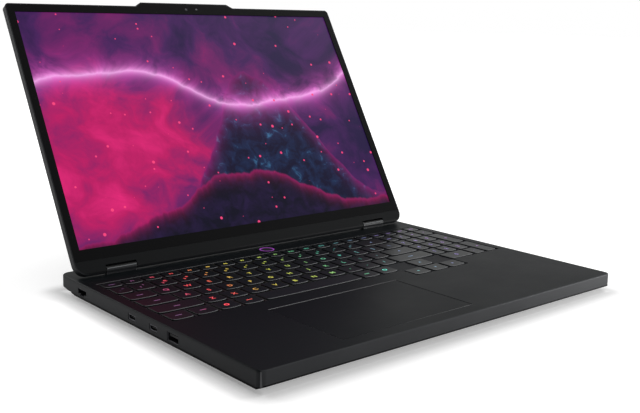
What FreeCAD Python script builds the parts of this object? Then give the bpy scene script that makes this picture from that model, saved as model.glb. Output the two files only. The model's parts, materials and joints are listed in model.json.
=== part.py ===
"""Laptop computer standing open: a base with keyboard, touchpad and inner parts, and a lid on two hinges.

The frame has +X to the right of the person who types, +Y away from them and +Z up. Its origin is the centre
of the flat underside of the base. Lengths are in millimetres and angles in degrees.
"""
import FreeCAD, Part
import Sketcher
import os
from types import SimpleNamespace

doc = FreeCAD.newDocument("laptop_computer")
dims = doc.addObject("Spreadsheet::Sheet", "dims")

SIZES = {
    # base shell
    "base_width": 344.8,
    "base_depth": 255.4,
    "base_height": 12.8,
    "deck_plate": 1.5,
    "side_wall": 1.6,
    "front_corner": 4.5,
    "rear_corner": 8.0,
    "deck_edge": 1.0,
    "bottom_plate": 1.4,
    "bottom_lip": 2.6,
    "seam_gap": 0.1,
    # how far the underside is lifted along its edges, and over what width
    "front_lift": 2.8,
    "front_inset": 7.3,
    "side_lift": 1.15,
    "side_inset": 6.0,
    "rear_lift": 4.85,
    "rear_inset": 33.7,
    # shallow field for a stick-on plate in the middle of the underside
    "field_width": 110.0,
    "field_depth": 38.0,
    "field_drop": 0.2,
    # rear grille
    "grille_depth": 19.5,
    "grille_wall": 1.8,
    "grille_floor": 0.8,
    "slot_width": 2.2,
    "slot_pitch": 4.0,
    # rubber feet
    "foot_height": 1.8,
    "foot_width": 10.0,
    "rear_foot_length": 236.0,
    "rear_foot_setback": 50.0,
    "front_foot_length": 62.0,
    "front_foot_offset": 98.0,
    "front_foot_setback": 24.0,
    # screws of the bottom cover
    "screw_head_radius": 2.2,
    "screw_head_height": 0.6,
    "screw_shank_radius": 1.2,
    "screw_length": 6.0,
    "screw_clear": 0.15,
    "boss_wall": 1.0,
    "front_screw_setback": 9.8,
    "rear_screw_setback": 37.4,
    "edge_screw_inset": 8.0,
    # hinges
    "hinge_setback": 23.05,
    "lid_gap": 0.45,
    "hinge_inset": 37.6,
    "knuckle_width": 25.2,
    "knuckle_radius": 2.9,
    "neck_depth": 4.6,
    "pin_radius": 1.5,
    "pin_clear": 0.05,
    "hinge_clear": 0.5,
    "bracket_plate": 1.2,
    "bracket_width": 42.0,
    "bracket_depth": 22.0,
    "leaf_plate": 1.0,
    "leaf_width": 36.0,
    # lid
    "lid_open_angle": 120.7,
    "lid_side": 2.0,
    "lid_front_gap": 2.25,
    "lid_thickness": 5.5,
    "lid_rim": 1.0,
    "lid_skin": 1.0,
    "lid_top_corner": 3.5,
    "lid_bottom_corner": 10.5,
    "lip_rise": 3.8,
    "lip_length": 92.0,
    "lip_run": 6.0,
    "chin_height": 8.6,
    "bezel_plate": 0.9,
    "bezel_fit": 0.1,
    "bezel_side": 7.1,
    "bezel_top": 7.4,
    "screen_rise": 17.7,
    "screen_border": 2.0,
    "screen_plate": 1.0,
    "panel_border": 3.6,
    "webcam_drop": 2.2,
    "webcam_radius": 1.5,
    "webcam_board_width": 50.0,
    "webcam_board_plate": 1.2,
    "indicator_offset": 10.8,
    "indicator_radius": 0.5,
    "antenna_offset": 95.0,
    "antenna_length": 42.0,
    "antenna_height": 3.0,
    # keyboard
    "keyboard_side": 8.35,
    "keyboard_setback": 44.4,
    "numpad_pitch": 14.9,
    "function_depth": 11.5,
    "arrow_depth": 14.4,
    "arrow_width": 20.0,
    "key_gap": 2.6,
    "key_height": 2.2,
    "key_travel": 1.2,
    "key_clear": 0.4,
    "grave_width": 15.1,
    "backspace_width": 30.2,
    "tab_width": 24.1,
    "caps_width": 30.1,
    "shift_width": 39.4,
    "modifier_width": 19.2,
    "web_drop": 0.8,
    "web_plate": 1.0,
    "web_rim": 1.0,
    "web_fit": 0.1,
    "well_wall": 1.0,
    "keyboard_plate": 0.5,
    "plate_clear": 0.2,
    # touchpad
    "touchpad_width": 120.5,
    "touchpad_depth": 75.0,
    "touchpad_shift": -39.75,
    "touchpad_margin": 12.2,
    "touchpad_gap": 17.7,
    "touchpad_plate": 1.0,
    "touchpad_drop": 0.15,
    "touchpad_clear": 0.35,
    "touchpad_travel": 0.6,
    "frame_plate": 0.8,
    "frame_rim": 2.0,
    # power button
    "power_radius": 5.0,
    "power_clear": 0.35,
    "power_ring_width": 1.1,
    "power_height": 2.4,
    "power_drop": 0.1,
    # sockets
    "port_drop": 0.4,
    "port_shell": 0.35,
    "port_fit": 0.15,
    "port_inset": 0.3,
    "ethernet_width": 11.9,
    "ethernet_height": 3.5,
    "ethernet_length": 16.0,
    "ethernet_notch_width": 5.4,
    "ethernet_notch": 1.5,
    "ethernet_setback": 37.7,
    "usb_c_width": 8.94,
    "usb_c_height": 3.26,
    "usb_c_length": 8.6,
    "usb_c_tongue": 0.7,
    "usb_a_width": 12.5,
    "usb_a_height": 5.12,
    "usb_a_length": 14.0,
    "usb_a_tongue": 1.84,
    "usb_a_left_reach": 92.4,
    "left_port_pitch": 24.1,
    "usb_c_pitch": 28.0,
    "usb_a_right_gap": 23.0,
    "usb_a_right_pitch": 24.0,
    "jack_radius": 1.8,
    "jack_wall": 1.0,
    "jack_length": 13.0,
    "jack_reach": 35.7,
    "hdmi_width": 14.0,
    "hdmi_height": 4.55,
    "hdmi_length": 11.0,
    "hdmi_tongue": 1.3,
    "hdmi_offset": -22.0,
    "inlet_width": 11.0,
    "inlet_height": 4.4,
    "inlet_length": 12.0,
    "inlet_tongue": 1.6,
    "inlet_offset": 22.0,
    # camera switch
    "switch_length": 4.0,
    "switch_height": 1.8,
    "switch_travel": 3.0,
    "switch_clear": 0.3,
    "switch_flange": 2.0,
    "switch_reach": 110.4,
    # fans and cooling
    "fan_side": 34.8,
    "fan_setback": 72.5,
    "fan_radius": 33.0,
    "fan_clear": 2.0,
    "fan_wall": 1.0,
    "fan_plate": 0.8,
    "fan_air_gap": 0.5,
    "fan_blades": 23,
    "blade_thickness": 0.8,
    "hub_radius": 11.0,
    "inlet_radius": 24.0,
    "shaft_radius": 1.5,
    "shaft_clear": 0.06,
    "fin_depth": 17.0,
    "fin_setback": 5.5,
    "fin_length": 78.0,
    "fin_plate": 0.5,
    "fin_pitch": 3.0,
    "pipe_width": 7.0,
    "pipe_height": 2.0,
    "pipe_offset": 38.0,
    "spreader_plate": 0.6,
    "spreader_width": 84.0,
    "spreader_depth": 60.0,
    # main board and what it carries
    "board_plate": 1.2,
    "board_rise": 0.8,
    "board_side": 20.8,
    "board_gap": 2.2,
    "board_depth": 53.0,
    "board_neck": 67.0,
    "core_setback": 17.0,
    "board_neck_gap": 2.0,
    "post_radius": 2.0,
    "package_height": 1.0,
    "processor_width": 44.0,
    "processor_depth": 26.0,
    "graphics_width": 36.0,
    "package_gap": 4.0,
    "drive_length": 80.0,
    "drive_width": 22.0,
    "drive_height": 2.2,
    "memory_length": 68.0,
    "memory_width": 30.0,
    "memory_height": 1.6,
    "memory_gap": 0.2,
    "radio_length": 30.0,
    "radio_width": 22.0,
    "radio_height": 1.6,
    # battery and speakers
    "battery_gap": 6.0,
    "battery_clear": 0.6,
    "speaker_side": 15.8,
    "speaker_width": 28.0,
    "speaker_depth": 48.0,
    "speaker_gap": 4.0,
    "speaker_clear": 1.5,
}

for row, (name, number) in enumerate(SIZES.items(), start=1):
    dims.set(f"A{row}", name.replace("_", " "))
    dims.set(f"B{row}", str(number))
    dims.setAlias(f"B{row}", name)
doc.recompute()


class Size:
    """A length or angle kept as an expression of the sheet's cells, so that it can be bound to a property."""

    def __init__(self, text):
        self.text = str(text)

    def __str__(self):
        return self.text

    def __float__(self):
        return float(dims.evalExpression(self.text))

    def __add__(self, other):
        return Size(f"({self} + {other})")

    def __radd__(self, other):
        return Size(f"({other} + {self})")

    def __sub__(self, other):
        return Size(f"({self} - {other})")

    def __rsub__(self, other):
        return Size(f"({other} - {self})")

    def __mul__(self, other):
        return Size(f"({self} * {other})")

    def __rmul__(self, other):
        return Size(f"({other} * {self})")

    def __truediv__(self, other):
        return Size(f"({self} / {other})")

    def __neg__(self):
        return Size(f"(0 - {self})")


d = SimpleNamespace(**{name: Size(f"dims.{name}") for name in SIZES})

# How far a cutting block reaches past the face that it cuts through.
REACH = 5

SIDES = {"left": -1, "right": 1}
SUB_PARTS = []


def bind(thing, path, size):
    """Ties one property of a feature to the sheet."""
    thing.setExpression(path, str(size))


def sub_part(thing, label):
    """Names a finished piece, and lists it to be written."""
    thing.Label = label
    SUB_PARTS.append(thing)
    return thing


def block(name, x, y, z):
    """A box between two limits along each axis."""
    made = doc.addObject("Part::Box", name)
    for side, axis, (low, high) in zip(("Length", "Width", "Height"), "xyz", (x, y, z)):
        bind(made, side, Size(high) - low)
        bind(made, f"Placement.Base.{axis}", low)
    return made


def rod(name, axis, centre, radius, span):
    """A cylinder along an axis, between two limits, round a centre given on the two other axes."""
    made = doc.addObject("Part::Cylinder", name)
    turns = {"x": ("y", 90), "y": ("x", -90), "z": ("z", 0)}
    about, angle = turns[axis]
    pole = FreeCAD.Vector(about == "x", about == "y", about == "z")
    made.Placement = FreeCAD.Placement(FreeCAD.Vector(), FreeCAD.Rotation(pole, angle))
    bind(made, "Radius", radius)
    bind(made, "Height", Size(span[1]) - span[0])
    others = [letter for letter in "xyz" if letter != axis]
    for letter, place in zip(others, centre):
        bind(made, f"Placement.Base.{letter}", place)
    bind(made, f"Placement.Base.{axis}", span[0])
    return made


def sketch_on(body, role, name, offset):
    """An empty sketch on one of a body's own planes, moved along that plane's normal."""
    plane = next(f for f in body.Origin.OriginFeatures if f.Role == role)
    sketch = body.newObject("Sketcher::SketchObject", name)
    sketch.AttachmentSupport = (plane, [""])
    sketch.MapMode = "FlatFace"
    bind(sketch, "AttachmentOffset.Base.z", offset)
    return sketch


def draw_outline(sketch, points):
    """A closed run of straight lines, each corner held at its two coordinates."""
    places = [FreeCAD.Vector(float(Size(x)), float(Size(y)), 0) for x, y in points]
    count = len(places)
    for i in range(count):
        sketch.addGeometry(Part.LineSegment(places[i], places[(i + 1) % count]), False)
    for i in range(count):
        sketch.addConstraint(Sketcher.Constraint("Coincident", i, 2, (i + 1) % count, 1))
    for i, (point, place) in enumerate(zip(points, places)):
        for kind, size, number in zip(("DistanceX", "DistanceY"), point, place):
            held = sketch.addConstraint(Sketcher.Constraint(kind, -1, 1, i, 1, number))
            bind(sketch, f"Constraints[{held}]", size)


def draw_circle(sketch, radius):
    """A circle round the sketch's origin."""
    ring = Part.Circle(FreeCAD.Vector(), FreeCAD.Vector(0, 0, 1), float(radius))
    sketch.addGeometry(ring, False)
    sketch.addConstraint(Sketcher.Constraint("Coincident", 0, 3, -1, 1))
    held = sketch.addConstraint(Sketcher.Constraint("Radius", 0, float(radius)))
    bind(sketch, f"Constraints[{held}]", radius)


def pad(body, sketch, length, name):
    """Raises a sketch along its normal."""
    made = body.newObject("PartDesign::Pad", name)
    made.Profile = sketch
    bind(made, "Length", length)
    doc.recompute()
    return made


def prism(name, role, points, span, rounds=()):
    """An outline on the XY or YZ plane, raised between two limits along that plane's normal.

    rounds pairs corner numbers of the outline with the radius that rounds their upright edges.
    """
    body = doc.addObject("PartDesign::Body", name)
    sketch = sketch_on(body, role, name + "_outline", span[0])
    draw_outline(sketch, points)
    last = pad(body, sketch, Size(span[1]) - span[0], name + "_pad")
    for number, (corners, radius) in enumerate(rounds):
        places = [tuple(float(Size(c)) for c in points[i]) for i in corners]
        last = fillet(body, last, name + f"_round_{number}", radius, lambda e: stands_at(e, places))
    return body


def stands_at(edge, places):
    """Whether an edge is upright and stands on one of the places in plan."""
    ends = [v.Point for v in edge.Vertexes]
    if len(ends) < 2 or (ends[0] - ends[1]).z == 0:
        return False
    near = [all(abs(p.x - x) + abs(p.y - y) < 1e-4 for p in ends) for x, y in places]
    return any(near)


def fillet(body, base, name, radius, wanted):
    """Rounds the wanted edges of a body's last feature."""
    found = [f"Edge{i}" for i, e in enumerate(base.Shape.Edges, start=1) if wanted(e)]
    made = body.newObject("PartDesign::Fillet", name)
    made.Base = (base, found)
    bind(made, "Radius", radius)
    doc.recompute()
    return made


def group(name, pieces):
    """Several separate solids as one feature."""
    made = doc.addObject("Part::Compound", name)
    made.Links = pieces
    return made


def fuse(name, pieces):
    """Solids that meet, joined into one."""
    made = doc.addObject("Part::MultiFuse", name)
    made.Shapes = pieces
    return made


def cut(name, base, tools):
    """A solid with pieces taken out of it."""
    made = doc.addObject("Part::Cut", name)
    made.Base = base
    made.Tool = tools[0] if len(tools) == 1 else fuse(name + "_tools", tools)
    return made


def common(name, first, second):
    """What two solids share."""
    made = doc.addObject("Part::Common", name)
    made.Base = first
    made.Tool = second
    return made


def sided(side, near, far):
    """Limits at the same distances from the middle on the left or on the right."""
    return (near, far) if side > 0 else (-far, -near)


def about(middle, length):
    """Limits of a length centred on a place."""
    return (middle - length / 2, middle + length / 2)


# Places worked out from the driving dimensions: the base.
half_width = d.base_width / 2
front = -(d.base_depth / 2)
rear = d.base_depth / 2
deck = d.base_height
under_deck = deck - d.deck_plate
inner_half = half_width - d.side_wall
seam = d.bottom_lip
floor = d.bottom_plate
grille_front = rear - d.grille_depth
grille_half = half_width - d.rear_corner - d.side_wall
slope_start = rear - d.rear_inset
slope_rate = d.rear_lift / d.rear_inset

# The hinge axis, half a lid above the deck so that the lid's round rear edge clears it at every angle.
hinge_y = rear - d.hinge_setback
hinge_z = deck + d.lid_gap + d.lid_thickness / 2
half_lid = d.lid_thickness / 2

# The lid covers the base, and the screen fills the lid but for its borders.
lid_half = half_width - d.lid_side
lid_top = hinge_y - front - d.lid_front_gap
screen_half = lid_half - d.bezel_side
screen_top = lid_top - d.bezel_top
hinge_x = lid_half - d.hinge_inset

# The keyboard: cells in plan, each key standing inside its cell by half a gap.
key_left = -(half_width - d.keyboard_side)
key_right = half_width - d.keyboard_side
key_rear = rear - d.keyboard_setback
main_right = key_right - d.numpad_pitch * 4
main_width = main_right - key_left
key_pitch = (main_width - d.grave_width - d.backspace_width) / 12
touchpad_front = front + d.touchpad_margin
touchpad_rear = touchpad_front + d.touchpad_depth
key_front = touchpad_rear + d.touchpad_gap
function_front = key_rear - d.function_depth - d.key_gap
row_pitch = (function_front - key_front) / 5
arrow_front = key_front - d.arrow_depth - d.key_gap
arrow_left = main_right - d.arrow_width * 3
key_bottom = deck - d.key_height
plate_top = key_bottom - d.key_travel - d.plate_clear
plate_bottom = plate_top - d.keyboard_plate

# The sockets stand midway between the bottom seam and the deck plate.
port_z = (seam + under_deck) / 2 - d.port_drop
rear_port_z = (d.rear_lift + d.grille_floor + under_deck) / 2
usb_left_y = front + d.usb_a_left_reach
jack_y = front + d.jack_reach
usb_front_y = jack_y + d.usb_a_right_gap
usb_rear_y = usb_front_y + d.usb_a_right_pitch
switch_y = front + d.switch_reach

# The inner parts.
fan_y = rear - d.fan_setback
fan_half = d.fan_radius + d.fan_clear + d.fan_wall
fan_x = inner_half - d.fan_side - fan_half
fan_bottom = floor + d.fan_air_gap
fan_top = plate_bottom - d.fan_air_gap
board_bottom = floor + d.board_rise
board_top = board_bottom + d.board_plate
board_half = inner_half - d.board_side
board_step = fan_y - fan_half - d.board_gap
board_front = board_step - d.board_depth
core_y = board_step - d.core_setback
speaker_far = inner_half - d.speaker_side
speaker_near = speaker_far - d.speaker_width
package_top = board_top + d.package_height
frame_bottom = under_deck - d.touchpad_travel - d.frame_plate
power_y = (key_rear + hinge_y) / 2
screw_seat = d.screw_head_height + d.screw_clear


def underside_cuts(name):
    """What the lifted edges of the underside take away along the front, the rear and both sides."""
    wide = (-half_width - REACH, half_width + REACH)
    front_points = [
        (front - REACH, d.front_lift + REACH * d.front_lift / d.front_inset),
        (front - REACH, 0 - d.foot_height),
        (front + d.front_inset, 0 - d.foot_height),
        (front + d.front_inset, 0),
    ]
    rear_points = [
        (slope_start, 0),
        (slope_start, 0 - d.foot_height),
        (rear + REACH, 0 - d.foot_height),
        (rear + REACH, d.rear_lift + REACH * slope_rate),
    ]
    cuts = [
        prism(name + "_front_lift", "YZ_Plane", front_points, wide),
        prism(name + "_rear_lift", "YZ_Plane", rear_points, wide),
    ]
    return cuts


def screw_places():
    """Where the screws of the bottom cover stand, in plan."""
    fan_edge = fan_x - fan_half
    pipe_edge = d.pipe_offset + d.pipe_width / 2
    between = (fan_edge + pipe_edge) / 2
    outer = (fan_x + fan_half + inner_half - d.ethernet_length) / 2
    front_y = front + d.front_screw_setback
    rear_y = rear - d.rear_screw_setback
    edge_y = (usb_front_y + usb_rear_y) / 2
    places = []
    for side in SIDES.values():
        places.append((side * d.base_width / 7, front_y))
        places.append((side * (speaker_far - d.speaker_gap), front_y))
        places.append((side * (half_width - d.edge_screw_inset), edge_y))
        places.append((side * between, rear_y))
        places.append((side * outer, rear_y))
    return places


def side_ports():
    """The sockets in the side walls: name, side, place along the wall, mouth width and height."""
    ports = [
        ("ethernet", -1, rear - d.ethernet_setback, d.ethernet_width, d.ethernet_height),
        ("usb_c_rear", -1, usb_left_y + d.left_port_pitch + d.usb_c_pitch, d.usb_c_width, d.usb_c_height),
        ("usb_c_front", -1, usb_left_y + d.left_port_pitch, d.usb_c_width, d.usb_c_height),
        ("usb_a_left", -1, usb_left_y, d.usb_a_width, d.usb_a_height),
        ("usb_a_right_rear", 1, usb_rear_y, d.usb_a_width, d.usb_a_height),
        ("usb_a_right_front", 1, usb_front_y, d.usb_a_width, d.usb_a_height),
    ]
    return ports


def key_cells():
    """Every key's cell in plan, by the node that it belongs to: left, right, front and rear limits."""
    cells = {}

    def add(node, left, right, low, high):
        cells.setdefault(node, []).append((left, right, low, high))

    def run(node, left, pitch, count, low, high):
        for i in range(count):
            add(node, left + pitch * i, left + pitch * (i + 1), low, high)

    def row_limits(row):
        return function_front - row_pitch * row, function_front - row_pitch * (row - 1)

    main_count = 16
    run("function_keys", key_left, main_width / main_count, main_count, function_front, key_rear)
    run("function_keys", main_right, d.numpad_pitch, 4, function_front, key_rear)

    low, high = row_limits(1)
    add("number_keys", key_left, key_left + d.grave_width, low, high)
    run("number_keys", key_left + d.grave_width, key_pitch, 12, low, high)
    add("backspace_key", main_right - d.backspace_width, main_right, low, high)
    run("numpad_keys", main_right, d.numpad_pitch, 4, low, high)

    low, high = row_limits(2)
    start = key_left + d.tab_width
    add("tab_key", key_left, start, low, high)
    run("upper_letter_keys", start, key_pitch, 12, low, high)
    add("upper_letter_keys", start + key_pitch * 12, main_right, low, high)
    run("numpad_keys", main_right, d.numpad_pitch, 3, low, high)
    add("numpad_keys", main_right + d.numpad_pitch * 3, key_right, low - row_pitch, high)

    low, high = row_limits(3)
    start = key_left + d.caps_width
    add("caps_lock_key", key_left, start, low, high)
    run("home_letter_keys", start, key_pitch, 11, low, high)
    add("enter_key", start + key_pitch * 11, main_right, low, high)
    run("numpad_keys", main_right, d.numpad_pitch, 3, low, high)

    low, high = row_limits(4)
    start = key_left + d.shift_width
    add("left_shift_key", key_left, start, low, high)
    run("lower_letter_keys", start, key_pitch, 10, low, high)
    add("right_shift_key", start + key_pitch * 10, main_right, low, high)
    run("numpad_keys", main_right, d.numpad_pitch, 3, low, high)
    add("numpad_keys", main_right + d.numpad_pitch * 3, key_right, low - row_pitch, high)

    low, high = row_limits(5)
    space_left = key_left + d.modifier_width * 4
    space_right = arrow_left - d.modifier_width * 2
    run("modifier_keys", key_left, d.modifier_width, 4, low, high)
    add("space_bar", space_left, space_right, low, high)
    run("modifier_keys", space_right, d.modifier_width, 2, low, high)
    add("arrow_keys", arrow_left + d.arrow_width, arrow_left + d.arrow_width * 2, low, high)
    add("numpad_keys", main_right, main_right + d.numpad_pitch * 2, low, high)
    add("numpad_keys", main_right + d.numpad_pitch * 2, main_right + d.numpad_pitch * 3, low, high)
    run("arrow_keys", arrow_left, d.arrow_width, 3, arrow_front, key_front)
    return cells


def keyboard_area(name, margin, z):
    """The keyboard's plan, with the arrow keys' step in front of it, grown by a margin."""
    points = [
        (key_left - margin, key_rear + margin),
        (key_left - margin, key_front - margin),
        (arrow_left - margin, key_front - margin),
        (arrow_left - margin, arrow_front - margin),
        (main_right + margin, arrow_front - margin),
        (main_right + margin, key_front - margin),
        (key_right + margin, key_front - margin),
        (key_right + margin, key_rear + margin),
    ]
    return prism(name, "XY_Plane", points, z)


def make_top_cover():
    """Deck, palm rest and side walls in one shell, with the keyboard's well and bosses for the screws."""
    points = [(-half_width, front), (half_width, front), (half_width, rear), (-half_width, rear)]
    rounds = [((0, 1), d.front_corner), ((2, 3), d.rear_corner)]
    bottom = seam + d.seam_gap
    shell = prism("deck_shell", "XY_Plane", points, (bottom, deck), rounds)
    top = float(deck)
    tip = shell.Tip
    fillet(shell, tip, "deck_rim", d.deck_edge, lambda e: all(abs(v.Z - top) < 1e-6 for v in e.Vertexes))
    hollow = block(
        "deck_hollow",
        (-inner_half, inner_half),
        (front + d.side_wall + d.front_inset / 4, grille_front),
        (bottom - REACH, under_deck),
    )
    rear_hollow = block(
        "deck_rear_hollow",
        (-grille_half, grille_half),
        (grille_front, rear + REACH),
        (bottom - REACH, under_deck),
    )
    hollowed = cut("deck_hollowed", shell, [fuse("deck_hollows", [hollow, rear_hollow])])
    well = keyboard_area("keyboard_well", d.web_fit + d.well_wall, (plate_top, deck - d.deck_edge))
    boss_radius = d.screw_shank_radius + d.boss_wall
    bosses = []
    for number, place in enumerate(screw_places()):
        span = (floor, under_deck + d.deck_plate / 2)
        bosses.append(rod(f"screw_boss_{number}", "z", place, boss_radius, span))
    solid = fuse("deck_with_bosses", [hollowed, well] + bosses)
    shaft = d.screw_shank_radius
    tools = [keyboard_area("keyboard_window", d.web_fit, (plate_top - REACH, deck + REACH))]
    for number, place in enumerate(screw_places()):
        span = (floor - REACH, screw_seat + d.screw_length)
        tools.append(rod(f"boss_bore_{number}", "z", place, shaft, span))
    clear = d.touchpad_clear
    tools.append(
        block(
            "touchpad_window",
            about(d.touchpad_shift, d.touchpad_width + clear * 2),
            (touchpad_front - clear, touchpad_rear + clear),
            (under_deck - REACH, deck + REACH),
        )
    )
    ring_radius = d.power_radius + d.power_clear + d.power_ring_width
    tools.append(rod("power_hole", "z", (0, power_y), ring_radius, (under_deck - REACH, deck + REACH)))
    slack = d.pin_clear * 4
    for side_name, side in SIDES.items():
        middle = side * hinge_x
        tools.append(
            block(
                f"neck_slot_{side_name}",
                about(middle, d.knuckle_width + slack),
                about(hinge_y, d.neck_depth + slack),
                (under_deck - REACH / 5, deck + REACH),
            )
        )
    for name, side, y, width, height in side_ports():
        skin = d.port_shell * 2 + d.port_fit * 2
        low = port_z - height / 2 - d.port_shell - d.port_fit
        tools.append(
            block(
                name + "_hole",
                sided(side, inner_half - d.well_wall, half_width + REACH),
                about(y, width + skin),
                (low, low + height + skin),
            )
        )
        if name == "ethernet":
            tools.append(
                block(
                    "ethernet_notch_hole",
                    sided(side, inner_half - d.well_wall, half_width + REACH),
                    about(y, d.ethernet_notch_width + skin),
                    (low + d.port_shell - d.ethernet_notch, low + height / 2),
                )
            )
    jack_hole = d.jack_radius + d.jack_wall + d.port_fit
    tools.append(rod("jack_hole", "x", (jack_y, port_z), jack_hole, (inner_half - 1, half_width + REACH)))
    tools.append(
        block(
            "switch_slot",
            (inner_half - 1, half_width + REACH),
            about(switch_y, d.switch_length + d.switch_travel + d.switch_clear * 2),
            about(port_z, d.switch_height + d.switch_clear * 2),
        )
    )
    tools.extend(underside_cuts("deck"))
    sub_part(cut("top_cover", solid, tools), "top_cover")


def intake_slots():
    """Slots through the bottom plate under each fan, as many as fit across its inlet."""
    slots = []
    count = int(float(d.inlet_radius) * 2 / float(d.slot_pitch))
    for side_name, side in SIDES.items():
        for i in range(count):
            middle = side * fan_x + d.slot_pitch * (i - (count - 1) / 2)
            slots.append(
                block(
                    f"intake_{side_name}_{i}",
                    about(middle, d.slot_width),
                    (fan_y - d.inlet_radius, rear - d.rear_foot_setback - d.foot_width),
                    (0 - REACH, floor + REACH / 5),
                )
            )
    return slots


def make_bottom_cover():
    """Bottom tray with lifted edges, air intakes under the fans, screw holes and posts for the main board."""
    back = grille_front - d.seam_gap
    points = [(-half_width, front), (half_width, front), (half_width, back), (-half_width, back)]
    tray = prism("bottom_tray", "XY_Plane", points, (0, seam), [((0, 1), d.front_corner)])
    pocket = block(
        "bottom_pocket",
        (-half_width + d.side_inset + d.side_wall, half_width - d.side_inset - d.side_wall),
        (front + d.front_inset + d.bottom_plate, slope_start - d.bottom_plate),
        (floor, seam + REACH),
    )
    hollowed = cut("bottom_hollowed", tray, [pocket])
    posts = []
    for number, (x, y, top) in enumerate(inner_posts()):
        posts.append(rod(f"inner_post_{number}", "z", (x, y), d.post_radius, (floor / 2, top)))
    solid = fuse("bottom_with_posts", [hollowed] + posts)
    field = block(
        "bottom_field",
        about(Size(0), d.field_width),
        about(Size(0), d.field_depth),
        (0 - REACH, d.field_drop),
    )
    tools = intake_slots() + underside_cuts("bottom") + [field]
    for side_name, side in SIDES.items():
        tools.append(side_lift(side_name, side))
    boss_hole = d.screw_shank_radius + d.boss_wall + d.screw_clear
    head_hole = d.screw_head_radius + d.screw_clear
    for number, place in enumerate(screw_places()):
        head = rod(f"head_hole_{number}", "z", place, head_hole, (0 - REACH, screw_seat))
        shank = rod(f"shank_hole_{number}", "z", place, d.screw_shank_radius + d.screw_clear, (0, floor))
        boss = rod(f"boss_room_{number}", "z", place, boss_hole, (floor, seam + REACH))
        tools.append(fuse(f"screw_hole_{number}", [head, shank, boss]))
    sub_part(cut("bottom_cover", solid, tools), "bottom_cover")


def side_lift(name, side):
    """What the lifted edge of the underside takes away along one side."""
    body = doc.addObject("PartDesign::Body", name + "_side_lift")
    sketch = sketch_on(body, "XZ_Plane", name + "_side_lift_outline", -rear - REACH)
    edge = side * half_width
    points = [
        (edge - side * d.side_inset, 0),
        (edge - side * d.side_inset, 0 - REACH),
        (edge + side * REACH, 0 - REACH),
        (edge + side * REACH, d.side_lift + REACH * d.side_lift / d.side_inset),
    ]
    draw_outline(sketch, points)
    pad(body, sketch, d.base_depth + REACH * 2, name + "_side_lift_pad")
    return body


def inner_posts():
    """Posts of the bottom cover that carry the main board and the fans: place in plan and top."""
    reach_x = board_half - d.post_radius * 3
    near_y = board_front + d.post_radius * 3
    far_y = board_step - d.post_radius * 3
    corner = fan_half - d.post_radius * 2
    posts = []
    for side in SIDES.values():
        posts.append((side * reach_x, near_y, board_bottom))
        posts.append((side * reach_x, far_y, board_bottom))
        for across in (-1, 1):
            for along in (-1, 1):
                posts.append((side * fan_x + across * corner, fan_y + along * corner, fan_bottom))
    return posts


def make_rear_grille():
    """Rear wall and sloped floor between the two rear corners, slotted in front of the fins."""
    start_z = slope_rate * (grille_front - slope_start)
    points = [
        (grille_front, start_z),
        (rear, d.rear_lift),
        (rear, under_deck),
        (rear - d.grille_wall, under_deck),
        (rear - d.grille_wall, d.rear_lift + d.grille_floor),
        (grille_front, start_z + d.grille_floor),
    ]
    half = grille_half - d.seam_gap
    plate = prism("grille_plate", "YZ_Plane", points, (-half, half))
    tools = []
    count = int(float(d.fin_length) / float(d.slot_pitch))
    for side_name, side in SIDES.items():
        for i in range(count):
            middle = side * fan_x + d.slot_pitch * (i - (count - 1) / 2)
            tools.append(
                block(
                    f"exhaust_{side_name}_{i}",
                    about(middle, d.slot_width),
                    (rear - d.grille_wall - REACH / 5, rear + REACH),
                    (d.rear_lift + d.grille_floor, under_deck - d.grille_wall / 2),
                )
            )
    skin = d.port_shell * 2 + d.port_fit * 2
    for name, offset, width, height in rear_ports():
        tools.append(
            block(
                name + "_hole",
                about(offset, width + skin),
                (rear - d.grille_wall - REACH / 5, rear + REACH),
                about(rear_port_z, height + skin),
            )
        )
    sub_part(cut("rear_grille", plate, tools), "rear_grille")


def rear_ports():
    """The sockets in the rear wall: name, place across, mouth width and height."""
    ports = [
        ("hdmi", d.hdmi_offset, d.hdmi_width, d.hdmi_height),
        ("inlet", d.inlet_offset, d.inlet_width, d.inlet_height),
    ]
    return ports


def make_feet():
    """One long rubber bar at the back and two short ones at the front, under the flat of the bottom cover."""
    height = (0 - d.foot_height, 0)
    back = rear - d.rear_foot_setback
    half = d.rear_foot_length / 2
    sub_part(foot_bar("rear_foot", (-half, half), about(back, d.foot_width), height), "rear_foot")
    pads = []
    for side_name, side in SIDES.items():
        span = about(side * d.front_foot_offset, d.front_foot_length)
        across = about(front + d.front_foot_setback, d.foot_width)
        pads.append(foot_bar(f"front_foot_{side_name}", span, across, height))
    sub_part(group("front_feet", pads), "front_feet")


def foot_bar(name, x, y, z):
    """A rubber bar with rounded ends."""
    points = [(x[0], y[0]), (x[1], y[0]), (x[1], y[1]), (x[0], y[1])]
    return prism(name, "XY_Plane", points, z, [((0, 1, 2, 3), d.foot_width / 3)])


def make_screws():
    """The screws of the bottom cover, heads sunk into it and shanks in the top cover's bosses."""
    screws = []
    for number, place in enumerate(screw_places()):
        head = rod(f"screw_head_{number}", "z", place, d.screw_head_radius, (d.screw_clear, screw_seat))
        end = screw_seat + d.screw_length
        shank = rod(f"screw_shank_{number}", "z", place, d.screw_shank_radius, (screw_seat, end))
        screws.append(fuse(f"screw_{number}", [head, shank]))
    sub_part(group("bottom_screws", screws), "bottom_screws")


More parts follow.
